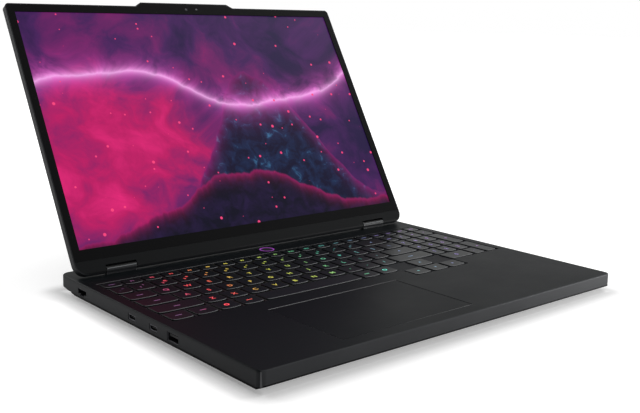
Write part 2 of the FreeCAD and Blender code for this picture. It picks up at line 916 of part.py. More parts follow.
def make_keyboard():
    """Key caps in the holes of a web, over a plate that closes the keyboard's well."""
    web_top = deck - d.web_drop
    web = keyboard_area("web_block", 0, (plate_top, web_top))
    inside = keyboard_area("web_room", -d.web_rim, (plate_top - REACH, web_top - d.web_plate))
    tools = [inside]
    for node, cells in key_cells().items():
        caps = []
        for number, (left, right, low, high) in enumerate(cells):
            inset = d.key_gap / 2
            caps.append(
                block(
                    f"{node}_cap_{number}",
                    (left + inset, right - inset),
                    (low + inset, high - inset),
                    (key_bottom, deck),
                )
            )
            room = inset - d.key_clear
            tools.append(
                block(
                    f"{node}_hole_{number}",
                    (left + room, right - room),
                    (low + room, high - room),
                    (web_top - d.web_plate, web_top + REACH),
                )
            )
        sub_part(caps[0] if len(caps) == 1 else group(node, caps), node)
    sub_part(cut("keyboard_web", web, tools), "keyboard_web")
    plate = keyboard_area("keyboard_plate", d.web_fit + d.well_wall, (plate_bottom, plate_top))
    sub_part(plate, "keyboard_plate")


def make_touchpad():
    """Touch plate hinged at its rear edge, over a frame that hangs under the deck on both sides."""
    half = d.touchpad_width / 2
    top = deck - d.touchpad_drop
    bottom = top - d.touchpad_plate
    x = (d.touchpad_shift - half, d.touchpad_shift + half)
    points = [(x[0], touchpad_front), (x[1], touchpad_front), (x[1], touchpad_rear), (x[0], touchpad_rear)]
    corners = [((0, 1, 2, 3), d.touchpad_clear * 3)]
    sub_part(prism("touchpad", "XY_Plane", points, (bottom, top), corners), "touchpad")
    rim = d.touchpad_clear + d.frame_rim
    frame = block(
        "touchpad_frame_block",
        (x[0] - rim, x[1] + rim),
        (touchpad_front, touchpad_rear),
        (frame_bottom, under_deck),
    )
    room = block(
        "touchpad_room",
        (x[0] - d.touchpad_clear, x[1] + d.touchpad_clear),
        (touchpad_front - REACH, touchpad_rear + REACH),
        (frame_bottom + d.frame_plate, under_deck + REACH),
    )
    sub_part(cut("touchpad_frame", frame, [room]), "touchpad_frame")


def make_power_button():
    """Round button inside a light ring that is set into the deck."""
    top = deck - d.power_drop
    centre = (0, power_y)
    cap = rod("power_button", "z", centre, d.power_radius, (top - d.power_height, top))
    sub_part(cap, "power_button")
    inner = d.power_radius + d.power_clear
    outer = rod("power_ring_disc", "z", centre, inner + d.power_ring_width - d.pin_clear, (under_deck, deck))
    bore = rod("power_ring_bore", "z", centre, inner, (under_deck - REACH, deck + REACH))
    sub_part(cut("power_ring", outer, [bore]), "power_ring")


def socket(name, side, y, size, length, tongue):
    """A socket in a side wall: a folded shell, closed at the back, with a contact tongue where it has one."""
    width, height = size
    outer = half_width - d.port_inset
    skin = d.port_shell
    shell = block(
        name + "_shell",
        sided(side, outer - length, outer),
        about(y, width + skin * 2),
        about(port_z, height + skin * 2),
    )
    mouth = block(
        name + "_mouth",
        sided(side, outer - length + skin, outer + REACH),
        about(y, width),
        about(port_z, height),
    )
    hollow = cut(name + "_open", shell, [mouth])
    if tongue is None:
        return hollow
    blade = block(
        name + "_blade",
        sided(side, outer - length + skin / 2, outer - tongue),
        about(y, width - tongue * 2),
        about(port_z, tongue),
    )
    return fuse(name + "_socket", [hollow, blade])


def make_side_sockets():
    """Sockets of the left and right walls."""
    y = {name: place for name, side, place, width, height in side_ports()}
    usb_c = (d.usb_c_width, d.usb_c_height)
    usb_a = (d.usb_a_width, d.usb_a_height)
    pair = []
    for name in ("usb_c_rear", "usb_c_front"):
        pair.append(socket(name, -1, y[name], usb_c, d.usb_c_length, d.usb_c_tongue))
    sub_part(group("usb_c_ports", pair), "usb_c_ports")
    left = socket("usb_a_left", -1, y["usb_a_left"], usb_a, d.usb_a_length, d.usb_a_tongue)
    sub_part(left, "usb_a_port_left")
    pair = []
    for name in ("usb_a_right_rear", "usb_a_right_front"):
        pair.append(socket(name, 1, y[name], usb_a, d.usb_a_length, d.usb_a_tongue))
    sub_part(group("usb_a_ports_right", pair), "usb_a_ports_right")
    make_network_socket(y["ethernet"])
    make_jack()


def make_network_socket(y):
    """Network socket with a notch below its mouth for the plug's latch."""
    plain = socket("ethernet", -1, y, (d.ethernet_width, d.ethernet_height), d.ethernet_length, None)
    outer = half_width - d.port_inset
    low = port_z - d.ethernet_height / 2
    notch = block(
        "ethernet_notch",
        (-outer - REACH, -outer + d.ethernet_length - d.port_shell),
        about(y, d.ethernet_notch_width),
        (low - d.ethernet_notch + d.port_shell, low + d.ethernet_height / 2),
    )
    lip = block(
        "ethernet_lip",
        (-outer, -outer + d.ethernet_length),
        about(y, d.ethernet_notch_width + d.port_shell * 2),
        (low - d.ethernet_notch, low),
    )
    sub_part(cut("ethernet_port", fuse("ethernet_with_lip", [plain, lip]), [notch]), "ethernet_port")


def make_jack():
    """Round headphone socket in the right wall."""
    centre = (jack_y, port_z)
    outer = half_width - d.port_inset
    barrel = rod("jack_barrel", "x", centre, d.jack_radius + d.jack_wall, (outer - d.jack_length, outer))
    bore = rod("jack_bore", "x", centre, d.jack_radius, (outer - d.jack_length + d.jack_wall, outer + REACH))
    sub_part(cut("audio_jack", barrel, [bore]), "audio_jack")


def make_rear_sockets():
    """Video socket and power inlet in the rear wall."""
    sizes = {
        "hdmi": ("video_port", d.hdmi_length, d.hdmi_tongue),
        "inlet": ("power_inlet", d.inlet_length, d.inlet_tongue),
    }
    skin = d.port_shell
    outer = rear - d.port_inset
    for name, offset, width, height in rear_ports():
        label, length, tongue = sizes[name]
        shell = block(
            name + "_shell",
            about(offset, width + skin * 2),
            (outer - length, outer),
            about(rear_port_z, height + skin * 2),
        )
        mouth = block(
            name + "_mouth",
            about(offset, width),
            (outer - length + skin, outer + REACH),
            about(rear_port_z, height),
        )
        blade = block(
            name + "_blade",
            about(offset, width - tongue * 2),
            (outer - length + skin / 2, outer - tongue),
            about(rear_port_z, tongue),
        )
        sub_part(fuse(label, [cut(name + "_open", shell, [mouth]), blade]), label)


def make_camera_switch():
    """Slide in the right wall, held behind it by a flange, drawn at the rear end of its slot."""
    y = switch_y + d.switch_travel / 2
    outer = half_width - d.port_inset
    behind = inner_half - d.switch_clear
    knob = block(
        "switch_knob",
        (behind - d.side_wall / 2, outer),
        about(y, d.switch_length),
        about(port_z, d.switch_height),
    )
    flange = block(
        "switch_flange_plate",
        (behind - d.side_wall / 2, behind),
        about(y, d.switch_length + d.switch_flange * 2),
        about(port_z, d.switch_height + d.switch_flange),
    )
    sub_part(fuse("camera_switch", [knob, flange]), "camera_switch")


def make_knuckle(side_name, side):
    """Hinge barrel on a neck that comes up through the deck from a bracket under it."""
    name = f"hinge_knuckle_{side_name}"
    middle = side * hinge_x
    span = about(middle, d.knuckle_width)
    barrel = rod(name + "_barrel", "x", (hinge_y, hinge_z), d.knuckle_radius, span)
    neck = block(name + "_neck", span, about(hinge_y, d.neck_depth), (under_deck - d.bracket_plate, hinge_z))
    bracket = block(
        name + "_bracket",
        about(middle, d.bracket_width),
        about(hinge_y, d.bracket_depth),
        (under_deck - d.bracket_plate, under_deck),
    )
    bore_span = (span[0] - REACH, span[1] + REACH)
    bore = rod(name + "_bore", "x", (hinge_y, hinge_z), d.pin_radius + d.pin_clear, bore_span)
    solid = fuse(name + "_solid", [barrel, neck, bracket])
    sub_part(cut(name, solid, [bore]), name)


def make_fan(side_name, side):
    """Blower housing with an air inlet below, and its impeller on a shaft that hangs from the top plate."""
    x = side * fan_x
    name = f"fan_housing_{side_name}"
    square = (about(x, fan_half * 2), about(fan_y, fan_half * 2))
    outside = block(name + "_block", *square, (fan_bottom, fan_top))
    low = fan_bottom + d.fan_plate
    high = fan_top - d.fan_plate
    room = rod(name + "_room", "z", (x, fan_y), d.fan_radius + d.fan_clear, (low, high))
    outlet_y = (fan_y, fan_y + fan_half + REACH)
    outlet = block(name + "_outlet", about(x, d.fan_radius * 2), outlet_y, (low, high))
    inlet = rod(name + "_inlet", "z", (x, fan_y), d.inlet_radius, (fan_bottom - REACH, low + d.fan_plate))
    hollow = cut(name + "_open", outside, [fuse(name + "_air", [room, outlet, inlet])])
    shaft_low = low + d.fan_air_gap * 2
    shaft = rod(name + "_shaft", "z", (x, fan_y), d.shaft_radius, (shaft_low, fan_top))
    sub_part(fuse(name, [hollow, shaft]), name)
    make_impeller(f"fan_impeller_{side_name}", x, low + d.fan_air_gap, high - d.fan_air_gap)


def make_impeller(name, x, low, high):
    """Hub with a ring of flat blades, bored for the shaft."""
    body = doc.addObject("PartDesign::Body", name)
    hub_sketch = sketch_on(body, "XY_Plane", name + "_hub_circle", 0)
    draw_circle(hub_sketch, d.hub_radius)
    pad(body, hub_sketch, high - low, name + "_hub")
    blade_sketch = sketch_on(body, "XY_Plane", name + "_blade_outline", 0)
    half = d.blade_thickness / 2
    inner = d.hub_radius - d.blade_thickness
    draw_outline(
        blade_sketch,
        [(inner, -half), (d.fan_radius - half, -half), (d.fan_radius - half, half), (inner, half)],
    )
    blade = pad(body, blade_sketch, high - low, name + "_blade")
    ring = body.newObject("PartDesign::PolarPattern", name + "_blades")
    ring.Originals = [blade]
    ring.Axis = (blade_sketch, ["N_Axis"])
    ring.Angle = 360
    bind(ring, "Occurrences", d.fan_blades)
    body.Tip = ring
    doc.recompute()
    bore_sketch = sketch_on(body, "XY_Plane", name + "_bore_circle", high - low)
    draw_circle(bore_sketch, d.shaft_radius + d.shaft_clear)
    bore = body.newObject("PartDesign::Pocket", name + "_bore")
    bore.Profile = bore_sketch
    bore.Type = "ThroughAll"
    doc.recompute()
    bind(body, "Placement.Base.x", x)
    bind(body, "Placement.Base.y", fan_y)
    bind(body, "Placement.Base.z", low)
    sub_part(body, name)


def make_cooling():
    """Heat spreader with two heat pipes, and a stack of fins behind each fan."""
    fin_y = (rear - d.fin_setback - d.fin_depth, rear - d.fin_setback)
    fin_z = (d.rear_lift + d.grille_floor + d.seam_gap, under_deck - d.bracket_plate - d.seam_gap * 3)
    stacks = []
    for side_name, side in SIDES.items():
        x = side * fan_x
        stack = block(f"fins_{side_name}", about(x, d.fin_length), fin_y, fin_z)
        gaps = []
        count = int(float(d.fin_length) / float(d.fin_pitch))
        for i in range(count):
            middle = x + d.fin_pitch * (i - (count - 1) / 2)
            gaps.append(
                block(
                    f"fin_gap_{side_name}_{i}",
                    about(middle, d.fin_pitch - d.fin_plate),
                    (fin_y[0] - REACH, fin_y[1] + REACH),
                    (fin_z[0] + d.fin_plate, fin_z[1] - d.fin_plate),
                )
            )
        stacks.append(cut(f"fin_stack_{side_name}", stack, gaps))
    sub_part(group("heat_sink_fins", stacks), "heat_sink_fins")
    spread_top = package_top + d.spreader_plate
    spreader = block(
        "spreader",
        about(Size(0), d.spreader_width),
        about(core_y, d.spreader_depth),
        (package_top, spread_top),
    )
    pipes = [spreader]
    pipe_z = (spread_top - d.spreader_plate / 2, spread_top + d.pipe_height)
    for side_name, side in SIDES.items():
        near = d.pipe_offset - d.pipe_width / 2
        far = d.pipe_offset + d.pipe_width / 2
        pipes.append(
            block(f"pipe_run_{side_name}", sided(side, near, far), (core_y - d.spreader_depth / 2, fin_y[0]), pipe_z)
        )
        end = fan_x + d.fin_length / 2
        cross_y = (fin_y[0] - d.pipe_width, fin_y[0])
        pipes.append(block(f"pipe_cross_{side_name}", sided(side, near, end), cross_y, pipe_z))
    sub_part(fuse("heat_pipes", pipes), "heat_pipes")


def make_electronics():
    """Main board with its processors, memory, drive and radio card."""
    neck = fan_x - fan_half - d.board_neck_gap
    neck_end = board_step + d.board_neck
    points = [
        (-board_half, board_front),
        (board_half, board_front),
        (board_half, board_step),
        (neck, board_step),
        (neck, neck_end),
        (-neck, neck_end),
        (-neck, board_step),
        (-board_half, board_step),
    ]
    sub_part(prism("main_board", "XY_Plane", points, (board_bottom, board_top)), "main_board")
    height = (board_top, package_top)
    gap = d.package_gap / 2
    near_y = (core_y - gap - d.processor_depth, core_y - gap)
    far_y = (core_y + gap, core_y + gap + d.processor_depth)
    processor = block("processor", about(Size(0), d.processor_width), near_y, height)
    graphics = block("graphics", about(Size(0), d.graphics_width), far_y, height)
    sub_part(group("processor_packages", [processor, graphics]), "processor_packages")
    edge = d.spreader_width / 2 + d.package_gap
    front_y = board_front + d.package_gap / 2
    modules = []
    for number in range(2):
        base = board_top + (d.memory_height + d.memory_gap) * number
        modules.append(
            block(
                f"memory_{number}",
                (-edge - d.memory_length, -edge),
                (front_y, front_y + d.memory_width),
                (base, base + d.memory_height),
            )
        )
    sub_part(group("memory_modules", modules), "memory_modules")
    drive_y = (front_y, front_y + d.drive_width)
    drive_z = (board_top, board_top + d.drive_height)
    drive = block("solid_state_drive", (edge, edge + d.drive_length), drive_y, drive_z)
    sub_part(drive, "solid_state_drive")
    radio_y = (drive_y[1] + d.package_gap, drive_y[1] + d.package_gap + d.radio_width)
    radio_z = (board_top, board_top + d.radio_height)
    radio = block("radio_card", (edge, edge + d.radio_length), radio_y, radio_z)
    sub_part(radio, "radio_card")


def make_battery():
    """Flat battery under the palm rest, with a speaker box on each side of it."""
    battery_y = (front + d.front_inset + d.battery_gap * 2, board_front - d.battery_gap)
    half = speaker_near - d.speaker_gap
    battery_top = plate_bottom - d.battery_clear
    sub_part(block("battery", (-half, half), battery_y, (floor, battery_top)), "battery")
    speakers = []
    speaker_y = (battery_y[0], battery_y[0] + d.speaker_depth)
    for side_name, side in SIDES.items():
        x = sided(side, speaker_near, speaker_far)
        speakers.append(block(f"speaker_{side_name}", x, speaker_y, (floor, under_deck - d.speaker_clear)))
    sub_part(group("speakers", speakers), "speakers")


def lid_plan(name, inset, w):
    """The lid's outline with the webcam lip, drawn in by an inset: X across, Y up from the hinge axis."""
    half = lid_half - inset
    top = lid_top - inset
    lip = d.lip_length / 2 - inset / 2
    bottom = -half_lid + inset
    points = [
        (-half, bottom),
        (half, bottom),
        (half, top),
        (lip + d.lip_run, top),
        (lip, top + d.lip_rise),
        (-lip, top + d.lip_rise),
        (-lip - d.lip_run, top),
        (-half, top),
    ]
    rounds = [((0, 1), d.lid_bottom_corner - inset), ((2, 7), d.lid_top_corner - inset)]
    return prism(name, "XY_Plane", points, w, rounds)


def lid_stand(pieces, label):
    """Stands the pieces of a lid part up on the hinge axis at the angle that the lid is open."""
    stood = group(label, pieces)
    stood.Placement = FreeCAD.Placement(FreeCAD.Vector(), FreeCAD.Rotation(FreeCAD.Vector(1, 0, 0), 1))
    bind(stood, "Placement.Base.y", hinge_y)
    bind(stood, "Placement.Base.z", hinge_z)
    bind(stood, "Placement.Rotation.Angle", 180 - d.lid_open_angle)
    sub_part(stood, label)


def knuckle_notches(name):
    """Room for the hinge knuckles in the lid's lower edge."""
    height = d.knuckle_radius + d.hinge_clear
    notches = []
    for side_name, side in SIDES.items():
        span = about(side * hinge_x, d.knuckle_width + d.hinge_clear * 2)
        deep = (-half_lid - REACH, half_lid + REACH)
        notches.append(block(f"{name}_notch_{side_name}", span, (-half_lid - REACH, height), deep))
    return notches


def make_lid_back_cover():
    """Back skin with its rim, and the back half of the round edge that turns about the hinge axis."""
    far = lid_top + d.lip_rise + REACH
    wide = (-half_width, half_width)
    thick = (-half_lid, half_lid)
    slab = block("lid_slab", wide, (0, far), thick)
    edge = rod("lid_edge", "x", (0, 0), half_lid, wide)
    profile = fuse("lid_profile", [slab, edge])
    outside = common("lid_outside", lid_plan("lid_outline", Size(0), thick), profile)
    skin = -half_lid + d.lid_skin
    room = block("lid_room", wide, (0, far), (skin, half_lid + REACH))
    front_room = block("lid_front_room", wide, (-half_lid - REACH, far), (0, half_lid + REACH))
    edge_room = rod("lid_edge_room", "x", (0, 0), half_lid - d.lid_skin, wide)
    inside_profile = fuse("lid_room_profile", [room, front_room, edge_room])
    inside_plan = lid_plan("lid_room_outline", d.lid_rim, (skin, half_lid + REACH))
    inside = common("lid_inside", inside_plan, inside_profile)
    hollow = cut("lid_hollow", outside, [inside])
    lid_stand([cut("lid_back_notched", hollow, knuckle_notches("lid_back"))], "lid_back_cover")


def make_hinge_cover():
    """Strip along the lid's lower front, with the front half of its round edge."""
    inset = d.lid_rim + d.bezel_fit
    wide = (-half_width, half_width)
    inner = half_lid - d.bezel_plate
    strip = block("chin_strip", wide, (0, d.chin_height - d.bezel_fit), (inner, half_lid))
    round_edge = rod("chin_edge", "x", (0, 0), half_lid, wide)
    edge_room = rod("chin_edge_room", "x", (0, 0), inner, wide)
    tube = cut("chin_tube", round_edge, [edge_room])
    quarter = block("chin_quarter", wide, (-half_lid - REACH, 0), (d.bezel_fit, half_lid + REACH))
    profile = fuse("chin_profile", [strip, common("chin_round", tube, quarter)])
    whole = common("chin_whole", lid_plan("chin_outline", inset, (0, half_lid)), profile)
    lid_stand([cut("chin_notched", whole, knuckle_notches("chin"))], "hinge_cover")


def make_bezel():
    """Frame round the screen, with holes for the webcam and its indicator."""
    inset = d.lid_rim + d.bezel_fit
    inner = half_lid - d.bezel_plate
    whole = lid_plan("bezel_outline", inset, (inner, half_lid))
    deep = (inner - REACH, half_lid + REACH)
    below = block("bezel_below", (-half_width, half_width), (-half_lid - REACH, d.chin_height), deep)
    window = block("bezel_window", (-screen_half, screen_half), (d.screen_rise, screen_top), deep)
    webcam_y = lid_top - d.webcam_drop
    eye = rod("webcam_hole", "z", (0, webcam_y), d.webcam_radius + d.bezel_fit, deep)
    light = rod("indicator_hole", "z", (d.indicator_offset, webcam_y), d.indicator_radius, deep)
    lid_stand([cut("bezel_frame", whole, [below, window, eye, light])], "screen_bezel")


def make_display():
    """Display panel on the back skin, and the screen surface in front of it."""
    back = -half_lid + d.lid_skin
    screen_front = half_lid - d.bezel_plate - d.bezel_fit
    screen_back = screen_front - d.screen_plate
    half = screen_half + d.panel_border
    low = d.screen_rise - d.panel_border * 2
    high = screen_top + d.panel_border / 2
    lid_stand([block("panel_slab", (-half, half), (low, high), (back, screen_back))], "display_panel")
    half = screen_half + d.screen_border
    low = d.screen_rise - d.screen_border
    high = screen_top + d.screen_border / 2
    screen = block("screen_slab", (-half, half), (low, high), (screen_back, screen_front))
    lid_stand([screen], "display_screen")


def make_webcam():
    """Webcam board on the back skin with its lens in the bezel's hole, and the radio antennas beside it."""
    back = -half_lid + d.lid_skin
    webcam_y = lid_top - d.webcam_drop
    board_top_w = back + d.webcam_board_plate
    low = webcam_y - d.webcam_radius - d.bezel_fit
    high = lid_top + d.lip_rise - d.lid_rim * 2
    half = d.webcam_board_width / 2
    lid_stand([block("webcam_slab", (-half, half), (low, high), (back, board_top_w))], "webcam_board")
    lens_front = half_lid - d.bezel_fit * 2
    lens = rod("webcam_barrel", "z", (0, webcam_y), d.webcam_radius, (board_top_w, lens_front))
    lid_stand([lens], "webcam_lens")
    strips = []
    top = lid_top - d.lid_rim - d.bezel_fit
    for side_name, side in SIDES.items():
        span = about(side * d.antenna_offset, d.antenna_length)
        strips.append(
            block(f"antenna_{side_name}", span, (top - d.antenna_height, top), (back, back + d.leaf_plate))
        )
    lid_stand(strips, "radio_antennas")


def make_hinge_leaf(side_name, side):
    """Steel leaf on the lid's back skin, with the pin that turns in the knuckle."""
    name = f"hinge_leaf_{side_name}"
    back = -half_lid + d.lid_skin
    near_end = hinge_x - d.knuckle_width / 2 - d.hinge_clear
    far_end = hinge_x + d.knuckle_width / 2
    leaf_span = sided(side, near_end - d.leaf_width, near_end - d.hinge_clear)
    high = d.screen_rise - d.panel_border * 2 - d.bezel_fit * 5
    leaf = block(name + "_plate", leaf_span, (0, high), (back, back + d.leaf_plate))
    pin_span = sided(side, near_end - d.leaf_width / 3, far_end)
    pin = rod(name + "_pin", "x", (0, 0), d.pin_radius, pin_span)
    lid_stand([fuse(name + "_solid", [leaf, pin])], name)


make_top_cover()
make_bottom_cover()
make_rear_grille()
make_feet()
make_screws()
make_keyboard()
make_touchpad()
make_power_button()
make_side_sockets()
make_rear_sockets()
make_camera_switch()
make_cooling()
make_electronics()
make_battery()
make_lid_back_cover()
make_hinge_cover()
make_bezel()
make_display()
make_webcam()
for hinge_side, hinge_sign in SIDES.items():
    make_knuckle(hinge_side, hinge_sign)
    make_hinge_leaf(hinge_side, hinge_sign)
    make_fan(hinge_side, hinge_sign)
doc.recompute()

for feature in doc.Objects:
    if "Invalid" in feature.State or "Error" in feature.State:
        raise RuntimeError(f"{feature.Label} failed to build: {feature.State}")
for piece in SUB_PARTS:
    if piece.Shape.isNull() or not piece.Shape.isValid() or not piece.Shape.Solids:
        raise RuntimeError(f"{piece.Label} has no valid solid")

os.makedirs("parts", exist_ok=True)
for piece in SUB_PARTS:
    piece.Shape.exportStep(f"parts/{piece.Label}.step")
print(len(SUB_PARTS), "sub-parts written")
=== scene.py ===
"""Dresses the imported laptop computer: shells, key caps with lit legends, screen, sockets and light."""
import json
import math

import bmesh
import bpy
from mathutils import Matrix, Vector


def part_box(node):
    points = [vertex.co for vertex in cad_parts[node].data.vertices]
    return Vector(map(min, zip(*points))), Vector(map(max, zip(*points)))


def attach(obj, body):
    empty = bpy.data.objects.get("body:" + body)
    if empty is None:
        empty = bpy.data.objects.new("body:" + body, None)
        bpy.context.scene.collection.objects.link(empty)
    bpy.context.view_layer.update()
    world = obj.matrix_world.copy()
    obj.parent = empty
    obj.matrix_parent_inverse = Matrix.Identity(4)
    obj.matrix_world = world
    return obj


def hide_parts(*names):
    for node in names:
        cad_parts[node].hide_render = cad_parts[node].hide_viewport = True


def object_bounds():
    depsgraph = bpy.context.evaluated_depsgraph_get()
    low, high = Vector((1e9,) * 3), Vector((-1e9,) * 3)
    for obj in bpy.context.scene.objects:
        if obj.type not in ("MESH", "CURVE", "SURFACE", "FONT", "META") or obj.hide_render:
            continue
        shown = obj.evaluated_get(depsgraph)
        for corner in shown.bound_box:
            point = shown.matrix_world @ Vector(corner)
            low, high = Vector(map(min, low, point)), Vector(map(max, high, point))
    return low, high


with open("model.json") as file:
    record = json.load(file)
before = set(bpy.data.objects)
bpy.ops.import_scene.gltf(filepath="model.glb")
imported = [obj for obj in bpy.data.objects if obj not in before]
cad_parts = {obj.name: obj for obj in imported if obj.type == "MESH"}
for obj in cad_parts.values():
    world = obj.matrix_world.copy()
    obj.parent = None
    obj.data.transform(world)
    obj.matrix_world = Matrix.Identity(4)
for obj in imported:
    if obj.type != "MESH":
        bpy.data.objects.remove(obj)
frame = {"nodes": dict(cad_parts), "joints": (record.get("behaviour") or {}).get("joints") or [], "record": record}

CAD_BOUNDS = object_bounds()
MM = 0.001
NODES = frame["nodes"]
RECORD = frame["record"]
BODY_OF = {n: b for b, members in RECORD["behaviour"]["bodies"].items() for n in members}
SLOT_OF = {s["node"]: s["material_slot"] for s in RECORD["subparts"]}
LID_JOINT = next(j for j in frame["joints"] if j["name"] == "lid_hinge")
LID_LEAN = math.radians(-LID_JOINT["range_deg"][0])
# Lid pieces are drawn flat: x across, y up from the hinge axis, z towards the viewer.
LID = Matrix.Translation(Vector(LID_JOINT["pos_m"])) @ Matrix.Rotation(LID_LEAN, 4, "X")
BASE_LO, BASE_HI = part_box("top_cover")
DECK = BASE_HI.z
KNUCKLE_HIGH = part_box("hinge_knuckle_left")[1].z


def srgb(red, green, blue):
    """A colour written 0 to 255, as Blender's linear colour with alpha, by the standard curve."""
    def linear(value):
        share = value / 255
        return share / 12.92 if share <= 0.04045 else ((share + 0.055) / 1.055) ** 2.4
    return (linear(red), linear(green), linear(blue), 1.0)


def shaded(colour, factor):
    """A colour made darker or lighter."""
    return tuple(c * factor for c in colour[:3]) + (1.0,)


class Graph:
    """Adds shader nodes to a new material, or to a new world, and links them."""

    # Where the mix node has its two colours and its mixed colour.
    MIX_INPUTS = (6, 7)
    MIX_OUTPUT = 2

    def __init__(self, name, world=False):
        self.owner = (bpy.data.worlds if world else bpy.data.materials).new(name)
        self.owner.use_nodes = True
        self.tree = self.owner.node_tree
        self.tree.nodes.clear()
        self.out = self.add("ShaderNodeOutputWorld" if world else "ShaderNodeOutputMaterial")

    def add(self, kind, *values, **settings):
        """A new node with these settings. The values go to its first inputs."""
        node = self.tree.nodes.new(kind)
        for key, value in settings.items():
            setattr(node, key, value)
        for socket, value in zip(node.inputs, values):
            self.put(socket, value)
        return node

    def put(self, socket, value):
        """Links a socket, or sets a plain value."""
        if isinstance(value, bpy.types.NodeSocket):
            self.tree.links.new(value, socket)
        else:
            socket.default_value = value

    def math(self, operation, *values, clamp=False):
        return self.add("ShaderNodeMath", *values, operation=operation, use_clamp=clamp).outputs[0]

    def weigh(self, first, second, share):
        """A mean of two values, in which the first has this share."""
        rest = self.math("MULTIPLY", second, 1 - share)
        return self.math("ADD", self.math("MULTIPLY", first, share), rest)

    def mix(self, factor, first, second):
        node = self.add("ShaderNodeMix", factor, data_type="RGBA")
        for number, colour in zip(self.MIX_INPUTS, (first, second)):
            self.put(node.inputs[number], colour)
        return node.outputs[self.MIX_OUTPUT]

    def ramp(self, factor, stops):
        node = self.add("ShaderNodeValToRGB", factor)
        elements = node.color_ramp.elements
        while len(elements) < len(stops):
            elements.new(1.0)
        for element, (place, colour) in zip(elements, stops):
            element.position = place
            element.color = colour
        return node.outputs[0]

    def spread(self, value, low, high, new_low=0.0, new_high=1.0, smooth=False):
        kind = "SMOOTHSTEP" if smooth else "LINEAR"
        values = (value, low, high, new_low, new_high)
        return self.add("ShaderNodeMapRange", *values, interpolation_type=kind).outputs[0]

    def noise(self, vector, scale, detail=2.0, roughness=0.5, distortion=0.0):
        node = self.add("ShaderNodeTexNoise", vector)
        values = dict(Scale=scale, Detail=detail, Roughness=roughness, Distortion=distortion)
        for key, value in values.items():
            self.put(node.inputs[key], value)
        return node.outputs["Fac"]

    def place(self):
        """Where a point is on its object, in metres."""
        return self.add("ShaderNodeTexCoord").outputs["Object"]

    def combine(self, x, y):
        return self.add("ShaderNodeCombineXYZ", x, y).outputs[0]

    def split(self, vector):
        return self.add("ShaderNodeSeparateXYZ", vector).outputs

    def bump(self, height, distance):
        node = self.add("ShaderNodeBump", 1.0, distance)
        self.put(node.inputs["Height"], height)
        return node.outputs["Normal"]

    def seen(self):
        """1 for rays from the camera and for reflected and refracted ones, and 0 for others."""
        path = self.add("ShaderNodeLightPath").outputs
        bent = self.math("MAXIMUM", path["Is Glossy Ray"], path["Is Transmission Ray"])
        return self.math("MAXIMUM", path["Is Camera Ray"], bent)

    def surface(self, **values):
        """A principled surface: socket names are written with underscores."""
        node = self.add("ShaderNodeBsdfPrincipled")
        for key, value in values.items():
            self.put(node.inputs[key.replace("_", " ")], value)
        self.put(self.out.inputs["Surface"], node.outputs[0])
        return self.owner


WHITE = (1.0, 1.0, 1.0, 1.0)
BLACK = (0.0, 0.0, 0.0, 1.0)
LAMP_PLASTIC = (0.02, 0.02, 0.02, 1.0)
# A noise node's values lie mostly between the first two. The second two give more contrast.
NOISE_LOW, NOISE_HIGH = 0.3, 0.7
NARROW_LOW, NARROW_HIGH = 0.35, 0.65
# Moulded surfaces: how fine their cloudiness is, the grain's share in tint and gloss, and the gloss's swing.
CLOUD_SCALE = 28.0
GRAIN_IN_TINT = 0.45
GRAIN_IN_GLOSS = 0.5
GLOSS_SWING = 0.05


def moulded(name, colour, rough, grain=0.35, depth=0.012, tint=0.12, level=0.4, fades=()):
    """Moulded or painted surface: fine even grain, faint cloudiness and a slightly uneven gloss.

    The grain's size and depth are in millimetres. Each of the fades is a lower and a higher z and a
    colour: the surface turns to that colour between them.
    """
    g = Graph(name)
    place = g.place()
    fine = g.noise(place, scale=1 / MM / grain, roughness=0.6)
    cloud = g.noise(place, scale=CLOUD_SCALE, detail=4.0, roughness=0.55)
    mottled = g.weigh(fine, cloud, GRAIN_IN_TINT)
    base = g.ramp(mottled, [(NOISE_LOW, shaded(colour, 1 - tint)), (NOISE_HIGH, shaded(colour, 1 + tint))])
    for low, high, top in fades:
        base = g.mix(g.spread(g.split(place)[2], low, high, smooth=True), base, top)
    uneven = g.weigh(fine, cloud, GRAIN_IN_GLOSS)
    gloss = g.spread(uneven, NOISE_LOW, NOISE_HIGH, rough - GLOSS_SWING, rough + GLOSS_SWING)
    normal = g.bump(fine, depth * MM)
    return g.surface(Base_Color=base, Roughness=gloss, Normal=normal, Specular_IOR_Level=level)


# Metal: how far its scratches are drawn out, their depth, its darker patches, and the gloss's swing.
SCRATCH_STRETCH = (1.0, 40.0, 1.0)
SCRATCH_DEPTH = 0.004 * MM
METAL_DARK = 0.82
METAL_SWING = 0.07


def metal(name, colour, rough):
    """Metal with fine scratches drawn out in one direction."""
    g = Graph(name)
    mapping = g.add("ShaderNodeMapping")
    mapping.inputs["Scale"].default_value = SCRATCH_STRETCH
    g.put(mapping.inputs["Vector"], g.place())
    lines = g.noise(mapping.outputs[0], scale=900.0, detail=3.0, roughness=0.6)
    cloud = g.noise(g.place(), scale=60.0, detail=3.0)
    base = g.ramp(cloud, [(NARROW_LOW, shaded(colour, METAL_DARK)), (NARROW_HIGH, colour)])
    gloss = g.spread(lines, NOISE_LOW, NOISE_HIGH, rough - METAL_SWING, rough + METAL_SWING)
    return g.surface(Base_Color=base, Metallic=1.0, Roughness=gloss, Normal=g.bump(lines, SCRATCH_DEPTH))


RUBBER_LIGHT = 1.6
RUBBER_GRAIN_DEPTH = 0.05 * MM


def rubber(name, colour):
    """Foot rubber with a coarse matt grain."""
    g = Graph(name)
    grain = g.noise(g.place(), scale=1500.0, detail=3.0, roughness=0.65)
    base = g.ramp(grain, [(NARROW_LOW, colour), (NOISE_HIGH, shaded(colour, RUBBER_LIGHT))])
    normal = g.bump(grain, RUBBER_GRAIN_DEPTH)
    return g.surface(Base_Color=base, Roughness=0.85, Normal=normal, Specular_IOR_Level=0.25)


